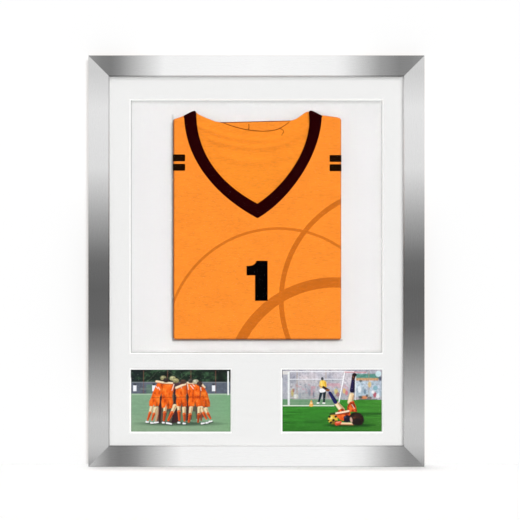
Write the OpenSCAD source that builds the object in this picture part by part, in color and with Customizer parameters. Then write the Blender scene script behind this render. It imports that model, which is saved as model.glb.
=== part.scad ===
// Jersey display frame: a mitred silver moulding round a glazed, double-mounted box that holds
// one folded sports jersey above two small photographs.
// Millimetres, +Z up. Origin: middle of the bottom edge, half way through the depth.
// The glazed front faces -Y and the hanging hardware is on the +Y side.

/* [Moulding] */
// width of each rail, seen from the front
rail_w = 35.5; // [34:0.5:40]
// width of the rebate that holds the glass and the boards
rebate_w = 6.5; // [5:0.5:9]
// thickness of the lip in front of the glass
lip_t = 6; // [4:0.5:9]
// chamfer along the sight edge
sight_chamfer = 1.5; // [0.5:0.1:2.5]
// chamfer along the outer front edge
outer_chamfer = 0.8; // [0.3:0.1:2]
// open joint left at each mitre
mitre_gap = 0.1; // [0.05:0.05:0.4]

/* [Glazing and boards] */
// width of the glass and of every board
board_w = 508; // [500:1:540]
// height of the glass and of every board
board_h = 635; // [630:1:665]
// clearance between a board's edge and the rebate
board_gap = 1.5; // [0.5:0.5:2.5]
// thickness of the glazing sheet
glass_t = 2; // [1.5:0.5:3]
// thickness of the bevelled mount board
mount_t = 2.4; // [1.4:0.2:3.2]
// thickness of the board behind the jersey
shirt_board_t = 5; // [3:0.5:6]
// thickness of the rear backboard
backboard_t = 3; // [2:0.5:5]
// depth of the spacers, which is the depth of the jersey's bay
spacer_t = 12; // [12:0.5:20]
// width of the spacer strips
spacer_w = 12; // [8:1:14]

/* [Windows] */
// width of the jersey window
window_w = 425; // [400:1:430]
// height of the jersey window
window_h = 427.4; // [422:0.2:430]
// height of the jersey window's lower edge
window_z = 193.2; // [192:0.2:195]
// width of each photograph window
photo_w = 168.8; // [150:0.2:170]
// height of each photograph window
photo_h = 105.2; // [98:0.2:108]
// height of the photograph windows' lower edge
photo_z = 58.4; // [57:0.1:60]
// distance of each photograph window from the middle
photo_x = 128.4; // [122:0.2:130]

/* [Photographs] */
// width of each print
print_w = 178; // [174:1:180]
// height of each print
print_h = 127; // [112:1:128]
// thickness of each print
print_t = 0.3; // [0.2:0.1:0.6]
// thickness of the card behind each print
backer_t = 1.5; // [1:0.1:2]

/* [Jersey] */
// thickness of the jersey's front panel
front_cloth_t = 1.8; // [1:0.1:2.4]
// thickness of the other cloth layers
cloth_t = 1.6; // [1:0.1:2]
// thickness of the stiff card inside the jersey
form_t = 2; // [1:0.1:2.5]
// height of the number and stripes above the cloth
print_raise = 0.4; // [0.2:0.1:0.8]
// thickness of the pads that hold the jersey to its board
pad_t = 1.6; // [1:0.1:2]

/* [Hardware] */
// diameter of every screw's shank
screw_d = 3.5; // [3:0.1:4]
// radial clearance of each turn button on its screw, and of each ring in its strap
run_gap = 0.08; // [0.02:0.01:0.1]
// length of each turn button from pivot to tip
button_reach = 18; // [16:0.5:18]
// width of each turn button
button_w = 10; // [8:0.5:12]
// thickness of each turn button
button_t = 1.2; // [0.8:0.1:1.6]
// diameter of the hanger rings' wire
wire_d = 2.2; // [1.8:0.1:2.4]
// height of the hanger rings above the base
hanger_z = 464; // [420:1:490]
// height of the wall bumpers
bumper_h = 5; // [4.8:0.2:8]

/* [Hidden] */
$fn = 48;
eps = 0.01;

// overall sizes
rail_face = rail_w - rebate_w;
frame_w = board_w + 2 * board_gap + 2 * rail_face;
frame_h = board_h + 2 * board_gap + 2 * rail_face;
mid_z = frame_h / 2;
board_lo = mid_z - board_h / 2;
board_hi = mid_z + board_h / 2;

// depths, counted from the front plane of the moulding towards the wall
y_glass = lip_t;
y_mount = y_glass + glass_t;
y_bay = y_mount + mount_t;
y_shirt_board = y_bay + spacer_t;
y_backboard = y_shirt_board + shirt_board_t;
rail_d = y_backboard + backboard_t;
depth = rail_d + bumper_h;

// depths of the jersey's layers
y_pads = y_shirt_board - pad_t;
y_fold = y_pads - cloth_t;
y_sleeve = y_fold - cloth_t;
y_back = y_sleeve - 1.4;
y_form = y_back - form_t;
y_front = y_form - front_cloth_t;
y_print = y_front - print_raise;

// jersey edges
jersey_l = -141.8;
jersey_r = 144.2;
jersey_b = 214.2;
wall_l = jersey_l + cloth_t;
wall_r = jersey_r - cloth_t;
wall_b = jersey_b + cloth_t;
v_tip = [1.9, 420.1];
v_inner = [1.6, 445.6];

// hardware positions
button_in = 19;
button_x = 150;
button_low = 170;
button_high = 540;
button_y = rail_d + 0.3;
head_y = button_y + button_t + 0.1;
ring_r = wire_d / 2;
strap_t = 1;
barrel_r = ring_r + run_gap + strap_t;
barrel_in = 25.5;
barrel_y = rail_d + barrel_r;
hang_screw_in = 8.5;
leaf_top = rail_d + 2 * strap_t + 0.1;
bumper_x = 240;
bumper_in = 14.5;

// points of a cubic curve
function curve(a, b, c, d, n = 16) = [
    for (i = [0:n])
        let (t = i / n, s = 1 - t)
        s * s * s * a + 3 * s * s * t * b + 3 * s * t * t * c + t * t * t * d
];

function ellipse(cx, cz, rx, rz, n = 120) = [
    for (i = [0:n - 1]) [cx + rx * cos(360 * i / n), cz + rz * sin(360 * i / n)]
];

// edges of the neckband, from shoulder to the point of the V, or back up
function band_out_left() = curve([-123.5, 595.4], [-121.6, 515.1], [-64.2, 455.2], v_tip);
function band_in_left() = curve([-102.2, 599.6], [-102.8, 528.3], [-57.8, 476.3], v_inner);
function band_out_right() = curve(v_tip, [58.5, 452.8], [109.9, 529.4], [111.5, 595.2]);
function band_in_right() = curve(v_inner, [47.7, 475.1], [97.8, 542.2], [88.9, 600.6]);
function backwards(list) = [for (i = [len(list) - 1:-1:0]) list[i]];
function without_first(list) = [for (i = [1:len(list) - 1]) list[i]];

// a flat outline drawn in x and z becomes a sheet, from depth y0 towards the wall
module sheet(y0, t) {
    translate([0, y0 + t - depth / 2, 0])
        rotate([90, 0, 0])
            linear_extrude(t)
                children();
}

module block(x0, x1, y0, y1, z0, z1) {
    translate([x0, y0 - depth / 2, z0])
        cube([x1 - x0, y1 - y0, z1 - z0]);
}

// everything drawn about a point on the back, with +Z pointing out towards the wall
module on_back(x, y, z) {
    translate([x, y - depth / 2, z])
        rotate([-90, 0, 0])
            children();
}

// ---------------------------------------------------------------- moulding

module rail_profile() {
    polygon([
        [0, outer_chamfer],
        [outer_chamfer, 0],
        [rail_w - sight_chamfer, 0],
        [rail_w, sight_chamfer],
        [rail_w, lip_t],
        [rail_face, lip_t],
        [rail_face, rail_d],
        [outer_chamfer, rail_d],
        [0, rail_d - outer_chamfer]
    ]);
}

// a rail that lies along x with its outer edge at z = 0 and both ends mitred
module rail(length) {
    g = mitre_gap / 2;
    half = length / 2;
    intersection() {
        translate([0, -depth / 2, 0])
            rotate([0, -90, 0])
                linear_extrude(length, center = true)
                    rail_profile();
        translate([0, rail_d + 1 - depth / 2, 0])
            rotate([90, 0, 0])
                linear_extrude(rail_d + 2)
                    polygon([
                        [-half + g - 1, -1],
                        [half - g + 1, -1],
                        [half - g - rail_w - 1, rail_w + 1],
                        [-half + g + rail_w + 1, rail_w + 1]
                    ]);
    }
}

module shank_hole(x, z) {
    on_back(x, rail_d - 12, z)
        cylinder(h = 13, d = screw_d);
}

module rail_holes(top, side) {
    if (top != 0) {
        for (s = [-1, 1])
            shank_hole(s * button_x, top > 0 ? frame_h - button_in : button_in);
    }
    if (side != 0) {
        shank_hole(side * (frame_w / 2 - button_in), button_low);
        shank_hole(side * (frame_w / 2 - button_in), button_high);
        shank_hole(side * (frame_w / 2 - hang_screw_in), hanger_z);
    }
}

module top_rail() {
    color([0.8, 0.81, 0.82])
        difference() {
            translate([0, 0, frame_h])
                rotate([0, 180, 0])
                    rail(frame_w);
            corner_v_nails();
            rail_holes(1, 0);
        }
}

module bottom_rail() {
    color([0.8, 0.81, 0.82])
        difference() {
            rail(frame_w);
            corner_v_nails();
            rail_holes(-1, 0);
        }
}

module left_rail() {
    color([0.77, 0.78, 0.79])
        difference() {
            translate([-frame_w / 2, 0, mid_z])
                rotate([0, 90, 0])
                    rail(frame_h);
            corner_v_nails();
            rail_holes(0, -1);
        }
}

module right_rail() {
    color([0.77, 0.78, 0.79])
        difference() {
            translate([frame_w / 2, 0, mid_z])
                rotate([0, -90, 0])
                    rail(frame_h);
            corner_v_nails();
            rail_holes(0, 1);
        }
}

// one folded steel wedge, driven 8 mm deep across the mitre, with its fold towards the inside
module v_nail() {
    on_back(0, rail_d - 8.2, 0)
        linear_extrude(8)
            for (s = [-1, 1])
                rotate(s * 35)
                    translate([-6.5, -0.35])
                        square([6.5, 0.7]);
}

module corner_v_nails() {
    color([0.55, 0.56, 0.58])
        for (sx = [-1, 1], sz = [-1, 1], u = [11, 20])
            translate([
                sx * (frame_w / 2 - u),
                0,
                sz > 0 ? frame_h - u : u
            ])
                rotate([0, sx > 0 ? (sz > 0 ? 135 : -135) : (sz > 0 ? 45 : -45), 0])
                    v_nail();
}

// ---------------------------------------------------------------- glazing, mount and photographs

module board(y0, t) {
    block(-board_w / 2, board_w / 2, y0, y0 + t, board_lo, board_hi);
}

module glazing_sheet() {
    color([0.85, 0.93, 0.95, 0.25])
        board(y_glass, glass_t);
}

// a window with 45 degree bevels, wider at the front of the board
module bevelled_window(cx, cz, w, h) {
    intersection() {
        translate([cx, y_mount - depth / 2, cz - h])
            linear_extrude(2 * h)
                polygon([
                    [-w / 2 - mount_t - 1, -1],
                    [w / 2 + mount_t + 1, -1],
                    [w / 2 - 1, mount_t + 1],
                    [-w / 2 + 1, mount_t + 1]
                ]);
        translate([cx, y_mount - depth / 2, cz])
            rotate([0, -90, 0])
                linear_extrude(2 * w, center = true)
                    polygon([
                        [-h / 2 - mount_t - 1, -1],
                        [h / 2 + mount_t + 1, -1],
                        [h / 2 - 1, mount_t + 1],
                        [-h / 2 + 1, mount_t + 1]
                    ]);
    }
}

module mount_board() {
    color([0.95, 0.95, 0.93])
        difference() {
            board(y_mount, mount_t);
            bevelled_window(0, window_z + window_h / 2, window_w, window_h);
            for (s = [-1, 1])
                bevelled_window(s * photo_x, photo_z + photo_h / 2, photo_w, photo_h);
        }
}

module photo_rectangle(s) {
    translate([s * photo_x, photo_z + photo_h / 2])
        square([print_w, print_h], center = true);
}

module photo_print_left() {
    color([0.35, 0.55, 0.3])
        sheet(y_bay, print_t)
            photo_rectangle(-1);
}

module photo_print_right() {
    color([0.35, 0.6, 0.3])
        sheet(y_bay, print_t)
            photo_rectangle(1);
}

module photo_backer_left() {
    color([0.9, 0.89, 0.85])
        sheet(y_bay + print_t, backer_t)
            photo_rectangle(-1);
}

module photo_backer_right() {
    color([0.9, 0.89, 0.85])
        sheet(y_bay + print_t, backer_t)
            photo_rectangle(1);
}

// a strip of tape that steps from the card behind a print down on to the mount board
module photo_tape(x, dir, z) {
    top = y_bay + print_t + backer_t;
    lo = min(x - dir * 12, x + dir * 0.15);
    hi = max(x - dir * 12, x + dir * 0.15);
    out_lo = min(x, x + dir * 10);
    out_hi = max(x, x + dir * 10);
    block(lo, hi, top, top + 0.15, z - 10, z + 10);
    block(min(x, x + dir * 0.15), max(x, x + dir * 0.15), y_bay, top + 0.15, z - 10, z + 10);
    block(out_lo, out_hi, y_bay, y_bay + 0.15, z - 10, z + 10);
}

module photo_tapes() {
    color([0.93, 0.9, 0.8])
        for (s = [-1, 1], dir = [-1, 1], k = [-1, 1])
            photo_tape(
                s * photo_x + dir * print_w / 2,
                dir,
                photo_z + photo_h / 2 + k * print_h / 4
            );
}

// ---------------------------------------------------------------- spacers and boards

module spacer_top() {
    color([0.93, 0.93, 0.91])
        block(-board_w / 2, board_w / 2, y_bay, y_shirt_board, board_hi - spacer_w, board_hi);
}

module spacer_bottom() {
    color([0.93, 0.93, 0.91])
        block(-board_w / 2, board_w / 2, y_bay, y_shirt_board, board_lo, board_lo + spacer_w);
}

module spacer_left() {
    color([0.93, 0.93, 0.91])
        block(
            -board_w / 2, -board_w / 2 + spacer_w, y_bay, y_shirt_board,
            board_lo + spacer_w, board_hi - spacer_w
        );
}

module spacer_right() {
    color([0.93, 0.93, 0.91])
        block(
            board_w / 2 - spacer_w, board_w / 2, y_bay, y_shirt_board,
            board_lo + spacer_w, board_hi - spacer_w
        );
}

// the strip under the jersey window's lower edge
module spacer_middle() {
    color([0.93, 0.93, 0.91])
        block(
            -board_w / 2 + spacer_w, board_w / 2 - spacer_w, y_bay, y_shirt_board,
            window_z - 2.5 - 11, window_z - 2.5
        );
}

module shirt_backing_board() {
    color([0.95, 0.95, 0.93])
        board(y_shirt_board, shirt_board_t);
}

module rear_backboard() {
    color([0.55, 0.42, 0.29])
        board(y_backboard, backboard_t);
}

// ---------------------------------------------------------------- jersey

// the neck opening in the front panel, out to the neckband's outer edge
module neck_opening() {
    polygon(concat(
        band_out_left(),
        without_first(band_out_right()),
        [[111.5, 620], [-123.5, 620]]
    ));
}

module front_outline() {
    polygon(concat(
        band_out_left(),
        without_first(band_out_right()),
        [
            [136.0, 592.9],
            [141.0, 590.6],
            [jersey_r, 587.6],
            [jersey_r, jersey_b + 2],
            [jersey_r - 0.6, jersey_b + 0.6],
            [jersey_r - 2, jersey_b],
            [jersey_l + 2, jersey_b],
            [jersey_l + 0.6, jersey_b + 0.6],
            [jersey_l, jersey_b + 2],
            [jersey_l, 587.4],
            [-139.4, 589.4]
        ]
    ));
}

module stiff_card_outline() {
    difference() {
        polygon([
            [wall_l + 0.4, wall_b + 0.4],
            [wall_r - 0.4, wall_b + 0.4],
            [wall_r - 0.4, 585],
            [133, 590],
            [104, 593],
            [-118, 593],
            [-134, 587.5],
            [wall_l + 0.4, 583.5]
        ]);
        neck_opening();
    }
}

module shirt_form_board() {
    color([0.93, 0.92, 0.88])
        sheet(y_form, form_t)
            stiff_card_outline();
}

// the front of the jersey with its two long edges turned round to the back
module jersey_front_panel() {
    color([1, 0.56, 0.18]) {
        sheet(y_front, front_cloth_t)
            front_outline();
        block(jersey_l, wall_l, y_form - eps, y_fold, wall_b, 584);
        block(wall_r, jersey_r, y_form - eps, y_fold, wall_b, 584);
        block(wall_l - eps, -66, y_sleeve, y_fold, wall_b, 436);
        block(68, wall_r + eps, y_sleeve, y_fold, wall_b, 436);
    }
}

// the back of the jersey, whose inner side shows inside the neck
module jersey_back_panel() {
    color([0.93, 0.52, 0.16])
        sheet(y_back, y_sleeve - y_back)
            polygon([
                [wall_l, wall_b],
                [wall_r, wall_b],
                [wall_r, 587.0],
                [136.0, 591.8],
                [110.1, 594.4],
                [90.5, 602.2],
                [83.3, 600.9],
                [74.8, 594.8],
                [66.3, 589.3],
                [58.5, 587.1],
                [24, 585.9],
                [-10, 584.7],
                [-61, 584.2],
                [-69.6, 585.4],
                [-86.6, 591.9],
                [-98.5, 597.8],
                [-106, 601.8],
                [-122.4, 594.6],
                [-137.6, 589.2],
                [wall_l, 586.6]
            ]);
}

// the half-moon of cloth sewn inside the back of the neck
module jersey_neck_facing() {
    color([0.9, 0.5, 0.15])
        sheet(y_back - 0.5, 0.5)
            polygon(concat(
                curve([-56, 583.2], [-30, 572], [10, 564.6], [36, 572.2], 12),
                [[45, 576.8], [55.5, 584.2], [24, 585], [-10, 583.9]]
            ));
}

// the dark rib round the V
module jersey_neckband() {
    color([0.16, 0.02, 0.02])
        sheet(y_front - 0.8, front_cloth_t + 0.8)
            polygon(concat(
                band_out_left(),
                without_first(band_out_right()),
                [[100.9, 600.9], [92.2, 604.4], [89.3, 603.6]],
                backwards(band_in_right()),
                without_first(backwards(band_in_left())),
                [[-103.0, 603.0], [-106.2, 603.9], [-114.4, 600.8]]
            ));
}

module number_outline() {
    polygon([
        [-2.4, 280.5],
        [18.9, 280.5],
        [18.9, 348.5],
        [0, 348.5],
        [-1.6, 344.8],
        [-4.6, 341.9],
        [-8.6, 340.2],
        [-12.6, 339.8],
        [-16.8, 339.8],
        [-16.8, 323.8],
        [-2.4, 323.8]
    ]);
}

module jersey_number() {
    color([0.02, 0.02, 0.03])
        sheet(y_print, print_raise)
            number_outline();
}

// a short bar with its two inner corners rounded, from the side edge at x0 to its inner end at x1
module bar_outline(x0, x1, z0, z1) {
    d = x1 > x0 ? 1 : -1;
    polygon([
        [x0, z0],
        [x1 - d * 1.5, z0],
        [x1 - d * 0.44, z0 + 0.44],
        [x1, z0 + 1.5],
        [x1, z1 - 1.5],
        [x1 - d * 0.44, z1 - 0.44],
        [x1 - d * 1.5, z1],
        [x0, z1]
    ]);
}

module stripe(side_x, inner_x, z0, z1) {
    out = inner_x > side_x ? -1 : 1;
    edge = side_x + out * print_raise;
    sheet(y_print, print_raise)
        bar_outline(edge, inner_x, z0, z1);
    block(min(side_x, edge), max(side_x, edge), y_front - eps, y_fold - 0.4, z0, z1);
}

module jersey_stripes_left() {
    color([0.02, 0.02, 0.03]) {
        stripe(jersey_l, -121.2, 517.6, 529.2);
        stripe(jersey_l, -121.2, 501.6, 513.2);
    }
}

module jersey_stripes_right() {
    color([0.02, 0.02, 0.03]) {
        stripe(jersey_r, 124.3, 516.6, 528.2);
        stripe(jersey_r, 124.3, 500.8, 512.5);
    }
}

// three thin arcs printed across the front in a deeper tone
module jersey_printed_arcs() {
    color([0.84, 0.45, 0.13])
        sheet(y_front - 0.15, 0.15)
            difference() {
                intersection() {
                    union() {
                        difference() {
                            polygon(ellipse(37.4, 207.7, 193.6, 197.8));
                            polygon(ellipse(37.4, 207.7, 189.2, 193.4));
                        }
                        translate([133.3, 131.9])
                            difference() {
                                circle(r = 188.5, $fn = 160);
                                circle(r = 171.1, $fn = 160);
                            }
                        translate([230.8, 282.3])
                            difference() {
                                circle(r = 192.7, $fn = 160);
                                circle(r = 184.5, $fn = 160);
                            }
                    }
                    translate([jersey_l + 0.6, jersey_b + 0.6])
                        square([jersey_r - jersey_l - 1.2, 250]);
                }
                number_outline();
                neck_opening();
            }
}

// each sleeve is turned behind the body
module jersey_sleeve_left() {
    color([0.96, 0.53, 0.17])
        sheet(y_sleeve, cloth_t)
            polygon([
                [wall_l, 584],
                [-98, 584],
                [-22, 522],
                [-20, 474],
                [-58, 440],
                [wall_l, 440]
            ]);
}

module jersey_sleeve_right() {
    color([0.96, 0.53, 0.17])
        sheet(y_sleeve, cloth_t)
            polygon([
                [wall_r, 584],
                [wall_r, 440],
                [60, 440],
                [22, 474],
                [24, 522],
                [100, 584]
            ]);
}

// the tail of the jersey, turned up behind everything else
module jersey_lower_fold() {
    color([0.97, 0.54, 0.17]) {
        block(wall_l, wall_r, y_form, y_pads, jersey_b, wall_b);
        block(wall_l, wall_r, y_fold, y_pads, wall_b - eps, 556);
    }
}

module mounting_pads() {
    color([0.9, 0.9, 0.88])
        for (x = [-92, 94], z = [246, 384, 522])
            block(x - 14, x + 14, y_pads, y_shirt_board, z - 14, z + 14);
}

// ---------------------------------------------------------------- turn buttons

module turn_button(x, z, turn) {
    r = button_w / 2;
    color([0.72, 0.7, 0.62])
        on_back(x, button_y, z)
            linear_extrude(button_t)
                rotate(-turn)
                    difference() {
                        union() {
                            translate([-3, -r])
                                square([button_reach - r + 3, 2 * r]);
                            translate([-3, 0])
                                circle(r = r);
                            translate([button_reach - r, 0])
                                circle(r = r);
                        }
                        circle(d = screw_d + 2 * run_gap);
                    }
}

module button_top_left() {
    turn_button(-button_x, frame_h - button_in, -90);
}

module button_top_right() {
    turn_button(button_x, frame_h - button_in, -90);
}

module button_bottom_left() {
    turn_button(-button_x, button_in, 90);
}

module button_bottom_right() {
    turn_button(button_x, button_in, 90);
}

module button_left_upper() {
    turn_button(-frame_w / 2 + button_in, button_high, 0);
}

module button_left_lower() {
    turn_button(-frame_w / 2 + button_in, button_low, 0);
}

module button_right_upper() {
    turn_button(frame_w / 2 - button_in, button_high, 180);
}

module button_right_lower() {
    turn_button(frame_w / 2 - button_in, button_low, 180);
}

// a pan head with a cross recess on a plain shank, the head's underside at depth y
module screw(x, z, y, head_r) {
    difference() {
        on_back(x, rail_d - 12, z)
            union() {
                cylinder(h = y - rail_d + 12.5, d = screw_d);
                translate([0, 0, y - rail_d + 12])
                    rotate_extrude()
                        polygon([
                            [0, 0],
                            [head_r, 0],
                            [head_r, 0.7],
                            [head_r * 0.9, 1.3],
                            [head_r * 0.68, 1.7],
                            [head_r * 0.4, 1.9],
                            [0, 1.95]
                        ]);
            }
        on_back(x, y + 0.9, z)
            for (a = [0, 90])
                rotate(a + 20)
                    translate([-2.1, -0.4, 0])
                        cube([4.2, 0.8, 3]);
    }
}

module button_screws() {
    color([0.78, 0.72, 0.5]) {
        for (sx = [-1, 1]) {
            screw(sx * button_x, frame_h - button_in, head_y, 3.6);
            screw(sx * button_x, button_in, head_y, 3.6);
            screw(sx * (frame_w / 2 - button_in), button_low, head_y, 3.6);
            screw(sx * (frame_w / 2 - button_in), button_high, head_y, 3.6);
        }
    }
}

// ---------------------------------------------------------------- hangers

// the strap as it sits on the rail whose outer edge is at +x
module hanger_strap() {
    ax = frame_w / 2 - barrel_in;
    end_x = frame_w / 2 - hang_screw_in;
    y0 = rail_d - depth / 2;
    ya = barrel_y - depth / 2;
    difference() {
        intersection() {
            union() {
                translate([ax, ya, hanger_z - 5])
                    cylinder(h = 10, r = barrel_r);
                translate([ax, y0, hanger_z - 5])
                    cube([end_x + 6 - ax, strap_t, 10]);
                translate([ax + 5, y0 + strap_t + 0.1, hanger_z - 5])
                    cube([end_x + 6 - ax - 5, strap_t, 10]);
                translate([0, 0, hanger_z - 5])
                    linear_extrude(10)
                        polygon([
                            [ax + 0.4, ya + barrel_r - 0.1],
                            [ax + 1.6, ya + barrel_r - 0.4],
                            [ax + 5.8, y0 + 2 * strap_t],
                            [ax + 5.2, y0 + strap_t + 0.2],
                            [ax + 1.5, ya + 0.4]
                        ]);
            }
            translate([0, depth / 2, 0])
                rotate([90, 0, 0])
                    linear_extrude(depth)
                        union() {
                            translate([ax - 4, hanger_z - 5])
                                square([end_x - ax + 4, 10]);
                            translate([end_x, hanger_z])
                                circle(r = 5);
                        }
        }
        translate([ax, ya, hanger_z - 6])
            cylinder(h = 12, r = ring_r + run_gap);
        on_back(end_x, rail_d - 1, hanger_z)
            cylinder(h = 5, d = screw_d + 0.5);
    }
}

module hanger_strap_right() {
    color([0.74, 0.75, 0.76])
        hanger_strap();
}

module hanger_strap_left() {
    color([0.74, 0.75, 0.76])
        mirror([1, 0, 0])
            hanger_strap();
}

// a D of wire, drawn with its straight side on the hinge axis and its bow towards -x
module hanger_ring() {
    translate([frame_w / 2 - barrel_in, barrel_y - depth / 2, hanger_z])
        union() {
            translate([0, 0, -6])
                cylinder(h = 12, r = ring_r);
            for (s = [-1, 1]) {
                translate([-2, 0, s * 6])
                    rotate([90, 0, 0])
                        rotate(s > 0 ? 0 : -90)
                            rotate_extrude(angle = 90)
                                translate([2, 0])
                                    circle(r = ring_r);
                translate([-4, 0, s * 8])
                    rotate([0, 90, 0])
                        cylinder(h = 2, r = ring_r);
            }
            translate([-4, 0, 0])
                rotate([90, 0, 0])
                    rotate(90)
                        rotate_extrude(angle = 180)
                            translate([8, 0])
                                circle(r = ring_r);
        }
}

module hanger_ring_right() {
    color([0.8, 0.81, 0.82])
        hanger_ring();
}

module hanger_ring_left() {
    color([0.8, 0.81, 0.82])
        mirror([1, 0, 0])
            hanger_ring();
}

module hanger_screws() {
    color([0.78, 0.79, 0.8])
        for (sx = [-1, 1])
            screw(sx * (frame_w / 2 - hang_screw_in), hanger_z, leaf_top, 3.3);
}

// ---------------------------------------------------------------- bumpers

module wall_bumpers() {
    color([0.12, 0.12, 0.12])
        for (sx = [-1, 1], z = [bumper_in, frame_h - bumper_in])
            on_back(sx * bumper_x, rail_d, z)
                rotate_extrude()
                    polygon([
                        [0, 0],
                        [6, 0],
                        [6, 1.2],
                        [5.4, bumper_h - 1.2],
                        [4.9, bumper_h - 0.4],
                        [4.1, bumper_h],
                        [0, bumper_h]
                    ]);
}

top_rail();
bottom_rail();
left_rail();
right_rail();
corner_v_nails();
glazing_sheet();
mount_board();
photo_print_left();
photo_print_right();
photo_backer_left();
photo_backer_right();
photo_tapes();
spacer_top();
spacer_bottom();
spacer_left();
spacer_right();
spacer_middle();
shirt_backing_board();
shirt_form_board();
jersey_front_panel();
jersey_back_panel();
jersey_neck_facing();
jersey_neckband();
jersey_number();
jersey_stripes_left();
jersey_stripes_right();
jersey_printed_arcs();
jersey_sleeve_left();
jersey_sleeve_right();
jersey_lower_fold();
mounting_pads();
rear_backboard();
button_top_left();
button_top_right();
button_bottom_left();
button_bottom_right();
button_left_upper();
button_left_lower();
button_right_upper();
button_right_lower();
button_screws();
hanger_strap_left();
hanger_strap_right();
hanger_ring_left();
hanger_ring_right();
hanger_screws();
wall_bumpers();
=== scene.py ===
import math

import bmesh
import bpy
import numpy as np
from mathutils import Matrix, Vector, noise
from mathutils.geometry import delaunay_2d_cdt


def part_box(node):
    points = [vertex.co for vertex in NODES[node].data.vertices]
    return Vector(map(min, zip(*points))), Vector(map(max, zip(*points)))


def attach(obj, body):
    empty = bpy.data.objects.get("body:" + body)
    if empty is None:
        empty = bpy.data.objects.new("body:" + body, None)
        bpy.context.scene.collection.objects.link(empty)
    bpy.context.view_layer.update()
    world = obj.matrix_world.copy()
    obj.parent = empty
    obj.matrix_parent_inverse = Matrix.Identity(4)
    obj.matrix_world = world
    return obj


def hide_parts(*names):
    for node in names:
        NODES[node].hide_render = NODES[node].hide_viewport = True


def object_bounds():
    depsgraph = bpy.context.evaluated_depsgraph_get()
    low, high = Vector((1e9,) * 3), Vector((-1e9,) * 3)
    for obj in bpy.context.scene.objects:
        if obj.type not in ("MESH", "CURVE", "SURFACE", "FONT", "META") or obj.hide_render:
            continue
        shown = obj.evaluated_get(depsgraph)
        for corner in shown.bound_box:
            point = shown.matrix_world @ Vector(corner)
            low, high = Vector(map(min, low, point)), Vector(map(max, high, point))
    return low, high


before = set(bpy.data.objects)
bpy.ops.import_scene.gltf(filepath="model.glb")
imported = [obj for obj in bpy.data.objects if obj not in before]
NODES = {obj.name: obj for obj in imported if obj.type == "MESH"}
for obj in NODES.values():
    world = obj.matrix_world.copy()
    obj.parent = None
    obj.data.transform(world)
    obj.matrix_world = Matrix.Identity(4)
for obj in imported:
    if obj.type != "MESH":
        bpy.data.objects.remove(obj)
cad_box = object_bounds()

MM = 0.001
# the studio light is a little brighter than 1, so painted colours are this much darker than they should look
STUDIO = 0.86


# ------------------------------------------------------------------ shaders

def linear(r, g, b):
    """A colour given as 0 to 255 in sRGB, as linear RGBA."""
    out = []
    for v in (r, g, b):
        v /= 255
        out.append(v / 12.92 if v <= 0.04045 else ((v + 0.055) / 1.055) ** 2.4)
    return (*out, 1.0)


def shade_of(r, g, b):
    """The colour of a surface that should look like this sRGB colour in the studio light."""
    return tuple(v * STUDIO for v in linear(r, g, b)[:3]) + (1.0,)


def new_node(tree, kind, **settings):
    made = tree.nodes.new("ShaderNode" + kind)
    for key, value in settings.items():
        setattr(made, key, value)
    return made


def set_stops(band, stops):
    """Fills a colour ramp with stops of (position, colour)."""
    while len(band.elements) < len(stops):
        band.elements.new(0.5)
    for element, (at, colour) in zip(band.elements, stops):
        element.position = at
        element.color = colour


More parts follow.
